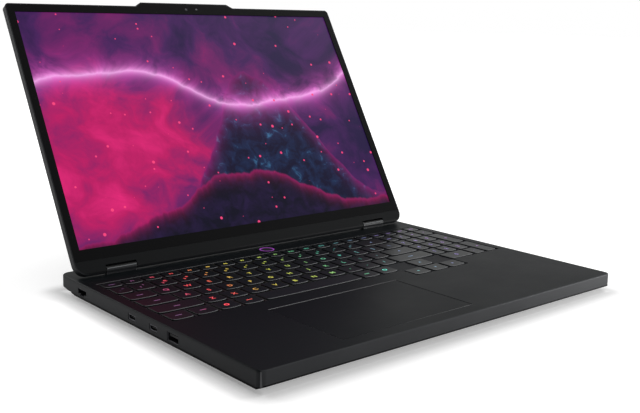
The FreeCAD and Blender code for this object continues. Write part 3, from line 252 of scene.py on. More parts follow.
# The keyboard light runs through the colours from left to right: place in millimetres and colour.
LIGHT_RUN = [
    (-165, srgb(64, 24, 92)),
    (-138, srgb(118, 26, 104)),
    (-116, srgb(236, 24, 48)),
    (-96, srgb(232, 56, 40)),
    (-76, srgb(214, 168, 40)),
    (-46, srgb(208, 206, 48)),
    (-16, srgb(166, 196, 62)),
    (6, srgb(84, 178, 110)),
    (36, srgb(44, 176, 156)),
    (70, srgb(84, 132, 150)),
    (112, srgb(104, 86, 168)),
    (160, srgb(134, 70, 160)),
]
RUN_HALF = 165 * MM
# How much white the palest specks of a lit window have.
LEGEND_PALE = 0.08
RING_PALE = 0.1
# The web below the keys: the two tones of its black, its dimmest light as a share, and the light's strength.
WEB_DARK = (0.006, 0.006, 0.007, 1.0)
WEB_LIGHT = (0.012, 0.012, 0.014, 1.0)
WEB_DIM = 0.35
WEB_STRENGTH = 0.006


def light_colour(g):
    """The keyboard light's colour at a point of the base."""
    across = g.split(g.place())[0]
    share = g.spread(across, -RUN_HALF, RUN_HALF)
    stops = [((x * MM + RUN_HALF) / (2 * RUN_HALF), colour) for x, colour in LIGHT_RUN]
    return g.ramp(share, stops)


def lit(name, strength):
    """Clear plastic that glows in the keyboard light's colours, faintly speckled with white."""
    g = Graph(name)
    speckle = g.noise(g.place(), scale=2500.0)
    pale = g.spread(speckle, NARROW_LOW, NARROW_HIGH, 0.0, LEGEND_PALE)
    glow = g.mix(pale, light_colour(g), WHITE)
    return g.surface(Base_Color=LAMP_PLASTIC, Roughness=0.5, Emission_Color=glow, Emission_Strength=strength)


def lit_web(name):
    """Black web below the keys, with the keyboard light leaking up through the gaps."""
    g = Graph(name)
    fine = g.noise(g.place(), scale=1800.0, roughness=0.6)
    patch = g.noise(g.place(), scale=55.0)
    dim = g.spread(patch, NOISE_LOW, NOISE_HIGH, WEB_DIM, 1.0)
    glow = g.mix(dim, BLACK, light_colour(g))
    base = g.ramp(fine, [(NOISE_LOW, WEB_DARK), (NOISE_HIGH, WEB_LIGHT)])
    return g.surface(Base_Color=base, Roughness=0.6, Specular_IOR_Level=0.06, Emission_Color=glow,
                     Emission_Strength=WEB_STRENGTH)


def plain_light(name, colour, strength):
    """A lit window of one colour, faintly uneven."""
    g = Graph(name)
    patch = g.noise(g.place(), scale=900.0)
    glow = g.mix(g.spread(patch, NOISE_LOW, NOISE_HIGH, 0.0, RING_PALE), colour, WHITE)
    return g.surface(Base_Color=LAMP_PLASTIC, Roughness=0.4, Emission_Color=glow, Emission_Strength=strength)


# Painted shade: the deck's top is a darker copy of the shell's colour.
DECK_SHADE_MATT = moulded("deck_matt_painted_shade", srgb(11, 14, 16), rough=0.42, level=0.025)
SHELL = moulded("shell_satin", srgb(27, 28, 30), rough=0.42, level=0.1)
# Painted highlight: a lighter, glossier copy of the shell's finish for rounded edges and corners.
SHELL_EDGE_HIGHLIGHT = moulded("shell_edge_painted_highlight", srgb(46, 47, 50), rough=0.36, level=0.45)
# Painted shade: a near-black finish for the strip at the foot of the walls, where shade falls below the base.
SHELL_FOOT_SHADE = moulded("shell_foot_painted_shade", srgb(9, 9, 10), rough=0.5, level=0.04)
# Painted light: a lighter copy of the shell's finish for the front wall.
SHELL_FRONT_LIT = moulded("shell_front_painted_light", srgb(40, 41, 43), rough=0.42, level=0.1)
# Painted highlight: a lighter copy of the shell's finish for the rim and the top cover's rounded edges.
SHELL_RIM_HIGHLIGHT = moulded("shell_rim_painted_highlight", srgb(46, 47, 49), rough=0.46, level=0.05)
# The side walls have painted shade: their colour darkens towards their top, where they turn into the deck.
SIDE_PAINTED_SHADE = (DECK - 2.9 * MM, DECK - 0.1 * MM, srgb(11, 14, 16))
SHELL_SIDE = moulded("shell_side", srgb(27, 28, 30), rough=0.42, level=0.07, fades=[SIDE_PAINTED_SHADE])
TOUCH_EDGE = moulded("touch_edge", srgb(10, 12, 14), rough=0.5, level=0.02)
LID_BACK = moulded("lid_back", srgb(38, 39, 41), rough=0.44, level=0.3)
LID_SHELL = moulded("lid_matt", srgb(24, 25, 27), rough=0.45, level=0.08)
BEZEL = moulded("bezel_matt", srgb(9, 9, 10), rough=0.5, grain=0.25, level=0.03)
CHIN = moulded("chin_matt", srgb(14, 15, 16), rough=0.5, grain=0.3, level=0.05)
# Painted highlight: a lighter copy of the chin's finish for its rounded edges.
CHIN_EDGE_HIGHLIGHT = moulded("chin_edge", srgb(24, 25, 27), rough=0.4, grain=0.3, level=0.12)
# Painted highlight: a lighter copy of the key caps' finish for their rounded front edges.
KEY_EDGE_HIGHLIGHT = moulded("key_edge_painted_highlight", srgb(62, 64, 67), rough=0.38, grain=0.25, depth=0.008, level=0.4)
KEYCAP = moulded("keycap_satin", srgb(10, 14, 16), rough=0.36, grain=0.25, depth=0.008, level=0.06)
TOUCH = moulded("touch_satin", srgb(10, 13, 15), rough=0.4, grain=0.2, depth=0.004, level=0.021)
# The knuckles have a painted highlight, a light line below their top, and painted shade, a dark top.
KNUCKLE_PAINTED_HIGHLIGHT = (KNUCKLE_HIGH - 1.65 * MM, KNUCKLE_HIGH - 1.45 * MM, srgb(98, 100, 102))
KNUCKLE_PAINTED_SHADE = (KNUCKLE_HIGH - 1.15 * MM, KNUCKLE_HIGH - 0.95 * MM, srgb(9, 9, 10))
HINGE_METAL = moulded("hinge_satin", srgb(28, 29, 31), rough=0.4, grain=0.3, level=0.13,
                      fades=[KNUCKLE_PAINTED_HIGHLIGHT, KNUCKLE_PAINTED_SHADE])
SWITCH = moulded("switch_satin", srgb(20, 20, 22), rough=0.45, level=0.25)
STEEL = metal("plated_steel", srgb(96, 96, 100), rough=0.34)
PORT_STEEL = metal("port_steel", srgb(60, 60, 64), rough=0.4)
SCREW_STEEL = metal("screw_steel", srgb(84, 84, 88), rough=0.36)
COPPER = metal("bare_copper", srgb(196, 122, 84), rough=0.3)
FIN = metal("bare_fins", srgb(190, 190, 194), rough=0.35)
GOLD = metal("contact_gold", srgb(214, 170, 86), rough=0.28)
INNER = moulded("inner_black", srgb(18, 18, 19), rough=0.6, grain=0.5, depth=0.02, level=0.2)
BOARD = moulded("board_lacquer", srgb(14, 46, 34), rough=0.38, grain=0.8, depth=0.02, tint=0.3)
CHIP = moulded("chip_black", srgb(30, 31, 34), rough=0.35)
RUBBER = rubber("foot_rubber", srgb(24, 24, 25))
LENS = moulded("lens_black", srgb(12, 14, 26), rough=0.16, depth=0.0, level=0.3)
LENS_RING = moulded("lens_ring", srgb(38, 39, 43), rough=0.4, grain=0.1, depth=0.002, level=0.2)
LEGEND = lit("legend_light", strength=1.1)
LEGEND_BRIGHT = lit("legend_bright", strength=2.2)
WEB = lit_web("web_black")
RING_LIGHT = plain_light("ring_light", srgb(158, 12, 188), strength=0.62)

MATERIAL_OF_SLOT = {
    "shell": SHELL,
    "bezel": BEZEL,
    "keycap": KEYCAP,
    "touch_plate": TOUCH,
    "switch_plastic": SWITCH,
    "light_ring": RING_LIGHT,
    "screen": BEZEL,
    "lens": LENS,
    "hinge_steel": HINGE_METAL,
    "plated_steel": STEEL,
    "foot_rubber": RUBBER,
    "board": BOARD,
    "chip": CHIP,
    "copper": COPPER,
    "fin_metal": FIN,
    "inner_plastic": INNER,
}
MATERIAL_OF_NODE = {"lid_back_cover": LID_SHELL, "hinge_cover": CHIN, "keyboard_web": WEB}
for socket in ("usb_c_ports", "usb_a_port_left", "usb_a_ports_right", "ethernet_port", "video_port"):
    MATERIAL_OF_NODE[socket] = PORT_STEEL
for name, node in NODES.items():
    node.data.materials.clear()
    node.data.materials.append(MATERIAL_OF_NODE.get(name, MATERIAL_OF_SLOT[SLOT_OF[name]]))

# Points of a CAD mesh that lie closer than this are one.
WELD = 1e-6
# Rounded edges: segments, the angle from which an edge is sharp, and the weight of large faces.
EDGE_SEGMENTS = 2
EDGE_ANGLE = math.radians(35)
EDGE_NORMAL_WEIGHT = 90


def link(name, data):
    """A new object in the scene."""
    made = bpy.data.objects.new(name, data)
    bpy.context.scene.collection.objects.link(made)
    return made


def link_mesh(name, bm):
    """Turns a bmesh into an object with outward faces."""
    bmesh.ops.recalc_face_normals(bm, faces=bm.faces)
    mesh = bpy.data.meshes.new(name)
    bm.to_mesh(mesh)
    bm.free()
    return link(name, mesh)


def piece(name, bm, node, *materials, slot=None, smooth=False, standing=None):
    """Links a bmesh as a piece that moves with a CAD node's body. Its slot is worked out but not used."""
    made = link_mesh(name, bm)
    if smooth:
        made.data.shade_smooth()
    if standing is not None:
        made.matrix_world = standing
    for material in materials:
        made.data.materials.append(material)
    body = BODY_OF[node]
    slot = slot or SLOT_OF[node]
    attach(made, body)
    return made


def dress(node, width, edge):
    """A copy that stands for a CAD node, with its sharp edges rounded by millimetres to catch the light.

    The edges have a finish of their own if one is given; a lighter one is a painted highlight.
    """
    bm = bmesh.new()
    bm.from_mesh(NODES[node].data)
    bmesh.ops.remove_doubles(bm, verts=bm.verts, dist=WELD)
    made = piece("dressed_" + node, bm, node, NODES[node].data.materials[0], smooth=True)
    bevel = made.modifiers.new("edges", "BEVEL")
    bevel.width = width * MM
    bevel.segments = EDGE_SEGMENTS
    bevel.limit_method = "ANGLE"
    bevel.angle_limit = EDGE_ANGLE
    if edge is not None:
        made.data.materials.append(edge)
        bevel.material = len(made.data.materials) - 1
    normals = made.modifiers.new("normals", "WEIGHTED_NORMAL")
    normals.keep_sharp = False
    normals.weight = EDGE_NORMAL_WEIGHT
    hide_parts(node)
    return made


def box_of(points):
    """The lowest and the highest corner of some points."""
    lo = Vector([min(p[i] for p in points) for i in range(3)])
    hi = Vector([max(p[i] for p in points) for i in range(3)])
    return lo, hi


def islands(node, standing=None):
    """The box of each separate solid of a CAD node, in a frame of its own if one is given."""
    bm = bmesh.new()
    bm.from_mesh(NODES[node].data)
    if standing is not None:
        bm.transform(standing.inverted())
    bmesh.ops.remove_doubles(bm, verts=bm.verts, dist=WELD)
    left = set(bm.verts)
    boxes = []
    for start in bm.verts:
        if start not in left:
            continue
        left.remove(start)
        group = [start]
        stack = [start]
        while stack:
            for edge in stack.pop().link_edges:
                for vert in edge.verts:
                    if vert in left:
                        left.remove(vert)
                        group.append(vert)
                        stack.append(vert)
        boxes.append(box_of([v.co for v in group]))
    bm.free()
    return boxes


def in_rows(boxes):
    """Key boxes from the rear row to the front row, each row from left to right."""
    return sorted(boxes, key=lambda b: (-round(b[1].y / MM), b[0].x))


# Key caps: a straight rear edge, a front edge that bows, and a shallow dish on top with rings inside it.
CAP_CORNER_STEPS = 5
CAP_EDGE_STEPS = 6
CAP_REAR_RADIUS = 1.3 * MM
CAP_FRONT_RADIUS = 2.3 * MM
CAP_BOW = 0.9 * MM
CAP_DISH = 0.07 * MM
CAP_DISH_RINGS = (0.72, 0.36)
# On a plain key the front edge bows as this power, and on a wider one the power grows with its width.
CAP_BOW_POWER = 2.0
CAP_PLAIN_WIDTH = 15.8 * MM
# Rings up the cap's side, in millimetres: inset from the outline, and height from the top.
CAP_RINGS = [(0.10, -2.2), (0.0, -1.9), (0.0, -0.55), (0.08, -0.29), (0.26, -0.09), (0.55, 0.0)]
# The rings between which the front edge has a painted highlight, a lighter finish, and how far that reaches round
# the front corners.
CAP_HIGHLIGHT_RINGS = (3, 5)
CAP_HIGHLIGHT_REACH = 0.6
CAP_NORMAL_WEIGHT = 70


def cap_outline(width, depth):
    """Points round a key cap's outline, centred, in metres."""
    half_w, half_d = width / 2, depth / 2
    power = max(CAP_BOW_POWER, CAP_BOW_POWER * width / CAP_PLAIN_WIDTH)
    corners = [
        (-half_w, -half_d, CAP_FRONT_RADIUS, 180),
        (half_w, -half_d, CAP_FRONT_RADIUS, 270),
        (half_w, half_d, CAP_REAR_RADIUS, 0),
        (-half_w, half_d, CAP_REAR_RADIUS, 90),
    ]
    points = []
    for x, y, radius, start in corners:
        middle = Vector((x - math.copysign(radius, x), y - math.copysign(radius, y)))
        for i in range(CAP_CORNER_STEPS + 1):
            turn = math.radians(start + 90 * i / CAP_CORNER_STEPS)
            points.append(middle + radius * Vector((math.cos(turn), math.sin(turn))))
        if x < 0 and y < 0:
            left, right = points[-1].x, half_w - radius
            for i in range(1, CAP_EDGE_STEPS):
                points.append(Vector((left + (right - left) * i / CAP_EDGE_STEPS, -half_d)))
    for point in points:
        if point.y < 0:
            share = abs(point.x) / half_w
            point.y += CAP_BOW * share**power * (-point.y / half_d)
    return points


def add_cap(bm, lo, hi):
    """One key cap inside its CAD box."""
    middle = (lo + hi) / 2
    width, depth = hi.x - lo.x, hi.y - lo.y
    outline = cap_outline(width, depth)
    rows = []
    for inset, rise in CAP_RINGS:
        rows.append((1 - inset * MM / (width / 2), 1 - inset * MM / (depth / 2), hi.z + rise * MM))
    for share in CAP_DISH_RINGS:
        rows.append((share, share, hi.z - CAP_DISH * (1 - share**2)))
    rings = []
    for grow_x, grow_y, z in rows:
        rings.append([bm.verts.new((middle.x + p.x * grow_x, middle.y + p.y * grow_y, z)) for p in outline])
    count = len(outline)
    front = CAP_FRONT_RADIUS * CAP_HIGHLIGHT_REACH - depth / 2 + CAP_BOW
    for level, (lower, upper) in enumerate(zip(rings, rings[1:])):
        for i in range(count):
            j = (i + 1) % count
            face = bm.faces.new((lower[i], lower[j], upper[j], upper[i]))
            # Front-edge faces between those rings take the lighter finish, a painted highlight.
            if CAP_HIGHLIGHT_RINGS[0] <= level < CAP_HIGHLIGHT_RINGS[1] and outline[i].y < front and outline[j].y < front:
                face.material_index = 1
    top = bm.verts.new((middle.x, middle.y, hi.z - CAP_DISH))
    for i in range(count):
        bm.faces.new((rings[-1][i], rings[-1][(i + 1) % count], top))
    bm.faces.new(list(reversed(rings[0])))


KEY_NODES = [n for n in NODES if SLOT_OF[n] == "keycap"]
KEY_BOXES = {node: in_rows(islands(node)) for node in KEY_NODES}


def make_caps(node):
    """All the key caps of one CAD node as one piece."""
    bm = bmesh.new()
    for lo, hi in KEY_BOXES[node]:
        add_cap(bm, lo, hi)
    made = piece("caps_" + node, bm, node, KEYCAP, KEY_EDGE_HIGHLIGHT, smooth=True)
    normals = made.modifiers.new("normals", "WEIGHTED_NORMAL")
    normals.weight = CAP_NORMAL_WEIGHT
    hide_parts(node)


# What each key carries, in the order of in_rows: "_" is a bar for a word left out, "^" an arrow turned by
# degrees, and "o" a bright ring. The space bar is bare.
LEGENDS = {
    "function_keys": ["_"] + [f"F{i}" for i in range(1, 13)] + ["_"] * 7,
    "number_keys": list("`1234567890-="),
    "backspace_key": ["^90"],
    "tab_key": ["_"],
    "upper_letter_keys": list("QWERTYUIOP[]\\"),
    "caps_lock_key": ["_"],
    "home_letter_keys": list("ASDFGHJKL;'"),
    "enter_key": ["^90"],
    "left_shift_key": ["_"],
    "lower_letter_keys": list("ZXCVBNM,./"),
    "right_shift_key": ["_"],
    "modifier_keys": ["_", "_", "o", "_", "_", "o"],
    "arrow_keys": ["^0", "^90", "^180", "^270"],
    "numpad_keys": ["_", "/", "*", "-", "7", "8", "9", "+", "4", "5", "6", "1", "2", "3", "^90", "0", "."],
}
# The number row has a second sign on each key.
SECOND = dict(zip("`1234567890-=", "~!@#$%^&*()_+"))
LEGEND_DROP = 0.012 * MM
GLYPH_SIZE = 5.6 * MM
SMALL_GLYPH = 3.4 * MM
RING_SIZE = 5.0 * MM
BAR_POINTS = [(-2.5, -0.475), (2.5, -0.475), (2.5, 0.475), (-2.5, 0.475)]
ARROW_SIZE = 2.4 * MM
ARROW_POINTS = [(0.0, 0.6), (-0.55, -0.4), (0.55, -0.4)]
# Size of the number row's first and second sign, and how far each lies off the key's middle.
FIRST_SIGN = 3.7 * MM
FIRST_OFF = (-1.9 * MM, -1.6 * MM)
SECOND_SIGN = 3.2 * MM
SECOND_OFF = (2.0 * MM, 2.2 * MM)
STROKE_GROWTH = 0.12 * MM
GLYPH_STEPS = 4
# Characters drawn before, by text and size.
GLYPHS = {}


def glyph_points(text, size):
    """A character's filled shape, centred on the origin: points and faces."""
    curve = bpy.data.curves.new("glyph", "FONT")
    curve.body = text
    curve.size = size
    curve.align_x = "CENTER"
    curve.align_y = "CENTER"
    curve.resolution_u = GLYPH_STEPS
    curve.offset = STROKE_GROWTH
    holder = link("glyph", curve)
    mesh = bpy.data.meshes.new_from_object(holder)
    points = [v.co.copy() for v in mesh.vertices]
    faces = [tuple(p.vertices) for p in mesh.polygons]
    bpy.data.objects.remove(holder)
    bpy.data.curves.remove(curve)
    bpy.data.meshes.remove(mesh)
    lo, hi = box_of(points)
    middle = (lo + hi) / 2
    return [p - middle for p in points], faces


def add_glyph(bm, text, size, x, y, z):
    """Draws a character flat at a place, and gives its faces."""
    if (text, size) not in GLYPHS:
        GLYPHS[(text, size)] = glyph_points(text, size)
    points, faces = GLYPHS[(text, size)]
    verts = [bm.verts.new((x + p.x, y + p.y, z)) for p in points]
    return [bm.faces.new([verts[i] for i in face]) for face in faces]


def add_face(bm, points, size, turn, x, y, z):
    """Draws one face flat at a place, turned by degrees."""
    spin = Matrix.Rotation(math.radians(turn), 2)
    moved = [spin @ Vector(p) * size for p in points]
    bm.faces.new([bm.verts.new((x + p.x, y + p.y, z)) for p in moved])


def make_legends(node):
    """The lit legends of one CAD node's keys as one piece, lying on the caps."""
    bm = bmesh.new()
    for (lo, hi), mark in zip(KEY_BOXES[node], LEGENDS[node]):
        x, y = (lo.x + hi.x) / 2, (lo.y + hi.y) / 2
        z = hi.z - LEGEND_DROP
        if mark == "_":
            add_face(bm, BAR_POINTS, MM, 0, x, y, z)
        elif mark == "o":
            for face in add_glyph(bm, "O", RING_SIZE, x, y, z):
                face.material_index = 1
        elif mark[0] == "^":
            add_face(bm, ARROW_POINTS, ARROW_SIZE, float(mark[1:]), x, y, z)
        elif len(mark) > 1:
            add_glyph(bm, mark, SMALL_GLYPH, x, y, z)
        elif node == "number_keys":
            add_glyph(bm, mark, FIRST_SIGN, x + FIRST_OFF[0], y + FIRST_OFF[1], z)
            add_glyph(bm, SECOND[mark], SECOND_SIGN, x + SECOND_OFF[0], y + SECOND_OFF[1], z)
        else:
            add_glyph(bm, mark, GLYPH_SIZE, x, y, z)
    piece("legends_" + node, bm, node, LEGEND, LEGEND_BRIGHT, slot="light_ring")


for key_node in KEY_NODES:
    make_caps(key_node)
    if key_node in LEGENDS:
        make_legends(key_node)

# The screen in the lid's flat frame, and the lit area inside its border.
SCREEN_LO, SCREEN_HI = box_of([LID.inverted() @ v.co for v in NODES["display_screen"].data.vertices])
SCREEN_BORDER = 2.0 * MM
SCREEN_EDGE = 0.15 * MM
SCREEN_DARK = (0.004, 0.004, 0.005, 1.0)
ACTIVE_LEFT = SCREEN_LO.x + SCREEN_BORDER
ACTIVE_WIDTH = SCREEN_HI.x - SCREEN_LO.x - 2 * SCREEN_BORDER
ACTIVE_LOW = SCREEN_LO.y + SCREEN_BORDER
ACTIVE_HEIGHT = SCREEN_HI.y - SCREEN_BORDER / 2 - ACTIVE_LOW

# The picture's sky, in shares of the lit area: how far clouds shift across and up, the middle and width of
# the glow across and up, how it darkens to the top and the right, and what each adds to the tone.
SKY_WARP = (0.55, 0.35)
GLOW_ACROSS = (0.10, 0.34)
GLOW_UP = (0.34, 0.36)
SKY_TOP = (0.6, 1.0, 0.27, 0.18)
SKY_RIGHT = (0.5, 1.0, 0.0, -0.12)
GLOW_TONE = 0.46
CLOUD_TONE = 1.05
WISP_TONE = 0.45
SKY_TONES = [
    (0.02, srgb(36, 22, 64)),
    (0.22, srgb(68, 30, 88)),
    (0.40, srgb(114, 31, 99)),
    (0.60, srgb(186, 26, 98)),
    (0.82, srgb(232, 40, 122)),
    (1.0, srgb(250, 104, 186)),
]
# Rows of peaks: the skyline, the tones of the rock, and the light along the skyline with how fast it fades.
FAR_LINE = dict(foot=0.04, swing=0.42, scale=1.5, shift=3.1, peak=0.66, peak_at=0.63, peak_width=0.20)
FAR_TONES = [(0.42, srgb(18, 17, 44)), (0.6, srgb(26, 40, 74)), (0.74, srgb(60, 110, 150))]
NEAR_LINE = dict(foot=0.01, swing=0.26, scale=2.3, shift=9.4, peak=0.24, peak_at=0.52, peak_width=0.24)
NEAR_TONES = [(0.4, srgb(13, 11, 30)), (0.7, srgb(34, 22, 58))]
PEAK_ROWS = [
    (FAR_LINE, FAR_TONES, 26.0, srgb(150, 30, 120)),
    (NEAR_LINE, NEAR_TONES, 60.0, srgb(190, 28, 112)),
]
PEAK_LIGHT = 0.6
SKYLINE_SOFT = 0.008
# The band of light: rate, start and height of its two waves, its own height, and how ragged it is.
BAND_WAVE = (6.4, 0.4, 0.10)
BAND_RIPPLE = (17.0, 2.0, 0.018)
BAND_UP = 0.64
BAND_RAGGED = 0.05
# Its halo and its core: how fast each fades, its strength and its colour. Wisps thin out the halo.
BAND_HALO = (30.0, 0.85, srgb(255, 96, 226))
BAND_CORE = (80.0, 0.7, srgb(255, 190, 250))
HALO_WISPS = (0.34, 0.62, 0.25, 1.0)
# Sparks: cells in the lit area's height, the share of them that stays empty, the largest radius and the soft
# edge in cells, and how strongly they cover.
SPARK_CELLS = 17.0
SPARK_EMPTY = 0.72
SPARK_RADIUS = 0.13
SPARK_SOFT = 0.03
SPARK_COVER = 0.9
SPARK_COLOUR = srgb(255, 72, 128)


def screen_picture():
    """A made-up night scene: a pink sky with clouds, dark peaks, a wavering band of light and sparks."""
    g = Graph("screen_picture")
    x, y, _ = g.split(g.place())
    u = g.spread(x, ACTIVE_LEFT, ACTIVE_LEFT + ACTIVE_WIDTH)
    v = g.spread(y, ACTIVE_LOW, ACTIVE_LOW + ACTIVE_HEIGHT)
    wide = g.math("MULTIPLY", u, ACTIVE_WIDTH / ACTIVE_HEIGHT)
    flat = g.combine(wide, v)

    def sway(noise, amount, onto):
        """A value with a noise about zero added to it."""
        return g.math("MULTIPLY_ADD", g.math("SUBTRACT", noise, 0.5), amount, onto)

    def wave(rate, start, height, onto):
        """A value with a wave across the screen added to it."""
        return g.math("MULTIPLY_ADD", g.math("SINE", g.math("MULTIPLY_ADD", u, rate, start)), height, onto)

    def off_squared(value, middle, width):
        """How many widths a value lies off a middle, squared."""
        off = g.math("DIVIDE", g.math("SUBTRACT", value, middle), width)
        return g.math("MULTIPLY", off, off)

    def fade(value, rate=1.0):
        """1 at zero, falling off as a value grows."""
        return g.math("EXPONENT", g.math("MULTIPLY", value, -rate))

    def glow_at(line, rate):
        """Light that fades with the distance from a line."""
        return fade(g.math("ABSOLUTE", g.math("SUBTRACT", v, line)), rate)

    def crest(foot, swing, scale, shift, peak, peak_at, peak_width):
        """The skyline of a row of peaks at each place across."""
        along = g.combine(g.math("ADD", wide, shift), shift)
        line = sway(g.noise(along, scale, detail=7.0, roughness=0.58), swing, foot)
        return g.math("MULTIPLY_ADD", fade(off_squared(u, peak_at, peak_width)), peak, line)

    warp = g.noise(flat, scale=1.7, detail=3.0)
    shifted = [g.math("MULTIPLY_ADD", warp, share, way) for share, way in zip(SKY_WARP, (wide, v))]
    moved = g.combine(*shifted)
    cloud = g.noise(moved, scale=2.6, detail=8.0, roughness=0.56, distortion=0.4)
    wisps = g.noise(moved, scale=7.0, detail=6.0, roughness=0.6, distortion=0.8)
    glow = fade(g.math("ADD", off_squared(u, *GLOW_ACROSS), off_squared(v, *GLOW_UP)))
    shade = g.math("ADD", g.spread(v, *SKY_TOP, smooth=True), g.spread(u, *SKY_RIGHT, smooth=True))
    tone = sway(cloud, CLOUD_TONE, g.math("MULTIPLY_ADD", glow, GLOW_TONE, shade))
    picture = g.ramp(sway(wisps, WISP_TONE, tone), SKY_TONES)

    rock = g.noise(flat, scale=16.0, detail=7.0, roughness=0.65, distortion=0.6)
    for line, tones, rate, light in PEAK_ROWS:
        skyline = crest(**line)
        face = g.mix(g.math("MULTIPLY", glow_at(skyline, rate), PEAK_LIGHT), g.ramp(rock, tones), light)
        below = g.spread(g.math("SUBTRACT", skyline, v), -SKYLINE_SOFT, SKYLINE_SOFT, smooth=True)
        picture = g.mix(below, picture, face)

    band = sway(wisps, BAND_RAGGED, wave(*BAND_WAVE, wave(*BAND_RIPPLE, BAND_UP)))
    rate, strength, colour = BAND_HALO
    halo = g.math("MULTIPLY", glow_at(band, rate), g.spread(wisps, *HALO_WISPS))
    picture = g.mix(g.math("MULTIPLY", halo, strength, clamp=True), picture, colour)
    rate, strength, colour = BAND_CORE
    picture = g.mix(g.math("MULTIPLY", glow_at(band, rate), strength, clamp=True), picture, colour)

    cells = g.add("ShaderNodeTexVoronoi", voronoi_dimensions="2D")
    g.put(cells.inputs["Vector"], flat)
    g.put(cells.inputs["Scale"], SPARK_CELLS)
    radius = g.spread(g.split(cells.outputs["Color"])[0], SPARK_EMPTY, 1.0, 0.0, SPARK_RADIUS)
    inside = g.math("SUBTRACT", radius, cells.outputs["Distance"])
    spark = g.spread(inside, 0.0, SPARK_SOFT, smooth=True)
    picture = g.mix(g.math("MULTIPLY", spark, SPARK_COVER), picture, SPARK_COLOUR)
    return g.surface(Base_Color=SCREEN_DARK, Roughness=0.3, Specular_IOR_Level=0.03,
                     Emission_Color=picture, Emission_Strength=1.0)


def make_screen():
    """The screen's lit front, a slab with softened edges in the CAD screen's place."""
    bm = bmesh.new()
    bmesh.ops.create_cube(bm, size=1.0)
    size = SCREEN_HI - SCREEN_LO
    middle = (SCREEN_HI + SCREEN_LO) / 2
    for vert in bm.verts:
        vert.co = Vector([middle[i] + vert.co[i] * size[i] for i in range(3)])
    bmesh.ops.bevel(bm, geom=bm.edges, offset=SCREEN_EDGE, segments=EDGE_SEGMENTS, affect="EDGES",
                    profile=0.5)
    made = piece("screen_front", bm, "display_screen", screen_picture(), standing=LID)
    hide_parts("display_screen")


make_screen()


def add_loft(bm, loops, finish=0, finishes=None):
    """Joins loops of equal length, each a list of places, and closes both ends.

    It has one finish, or one for each loop, which then is that of the band before it.
    """
    finishes = finishes or [finish] * len(loops)
    rings = [[bm.verts.new(p) for p in loop] for loop in loops]
    count = len(rings[0])
    for lower, upper, index in zip(rings, rings[1:], finishes[1:]):
        for i in range(count):
            j = (i + 1) % count
            bm.faces.new((lower[i], lower[j], upper[j], upper[i])).material_index = index
    bm.faces.new(rings[-1]).material_index = finishes[-1]
    bm.faces.new(list(reversed(rings[0]))).material_index = finishes[0]


# The webcam's lens: share of its radius, drop from its front in half depths, and finish of the band outside
# that ring. The first ring is at the lens's back.
LENS_PROFILE = [
    (1.0, None, 0),
    (1.0, 0.12, 0),
    (0.93, 0.02, 0),
    (0.72, 0.0, 0),
    (0.66, 0.14, 1),
    (0.60, 0.16, 1),
    (0.42, 0.07, 1),
    (0.20, 0.02, 1),
]
LENS_SIDES = 32
INDICATOR_OFFSET = 10.8 * MM
INDICATOR_HALF = Vector((1.3, 0.8)) * MM
INDICATOR_PROUD = 0.05 * MM
INDICATOR_DEPTH = 0.3 * MM


def make_lens():
    """The webcam's lens and the window of its indicator: a ring round a small dome of dark glass."""
    bm = bmesh.new()
    eyes = islands("webcam_lens", LID)
    eye = (eyes[0][0] + eyes[0][1]) / 2
    front = max(hi.z for lo, hi in islands("screen_bezel", LID)) + INDICATOR_PROUD
    mark = Vector((INDICATOR_OFFSET, eye.y, front))
    half = Vector((*INDICATOR_HALF, 0))
    eyes.append((mark - half - Vector((0, 0, INDICATOR_DEPTH)), mark + half))
    turns = [2 * math.pi * i / LENS_SIDES for i in range(LENS_SIDES)]
    finishes = [finish for _, _, finish in LENS_PROFILE]
    for lo, hi in eyes:
        middle = (lo + hi) / 2
        half = (hi - lo) / 2
        loops = []
        for share, drop, _ in LENS_PROFILE:
            wide, high = half.x * share, half.y * share
            z = lo.z if drop is None else hi.z - drop * half.z
            loops.append([(middle.x + wide * math.cos(t), middle.y + high * math.sin(t), z) for t in turns])
        add_loft(bm, loops, finishes=finishes)
    made = piece("webcam_glass", bm, "webcam_lens", LENS_RING, LENS, smooth=True, standing=LID)
    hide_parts("webcam_lens")


make_lens()


def rounded_box(width, height, radius, steps=5):
    """Points round a rectangle with rounded corners, centred."""
    points = []
    for sx, sy, start in ((1, 1, 0), (-1, 1, 90), (-1, -1, 180), (1, -1, 270)):
        for i in range(steps + 1):
            turn = math.radians(start + 90 * i / steps)
            across = sx * (width / 2 - radius) + radius * math.cos(turn)
            up = sy * (height / 2 - radius) + radius * math.sin(turn)
            points.append((across, up))
    return points


# Sockets in millimetres: mouth width, height and corner, tongue width, thickness and rise, how many contacts
# a face of the tongue has, and which faces have them, 1 for the upper and -1 for the lower.
USB_C = dict(width=8.3, height=2.55, corner=1.27, blade=6.6, thick=0.7, rise=0.0, count=12, faces=(1, -1))
USB_A = dict(width=12.5, height=5.1, corner=0.3, blade=11.1, thick=1.8, rise=0.95, count=4, faces=(-1,))
SOCKETS = {"usb_c_ports": USB_C, "usb_a_port_left": USB_A, "usb_a_ports_right": USB_A}
SOCKET_CORNER = 0.25
SOCKET_LIP = 0.35
LIP_DEPTH = 0.3
SOCKET_FLOOR = 1.0
TONGUE_BACK = 0.9
TONGUE_CORNER = 0.3
NOSE_LENGTH = 0.4
NOSE_TAPER = (0.5, 0.3)
NOSE_CORNER = 0.18
# Contacts: the tongue's free margin, their share of the pitch, thickness and corner, and their two ends as
# counted inward from the tongue's tip.
CONTACT_MARGIN = 0.8
CONTACT_SHARE = 0.5
CONTACT_THICK = 0.08
CONTACT_CORNER = 0.03
CONTACT_RUN = (3.2, 0.6)
SHELL_FINISH, TONGUE_FINISH, CONTACT_FINISH = range(3)


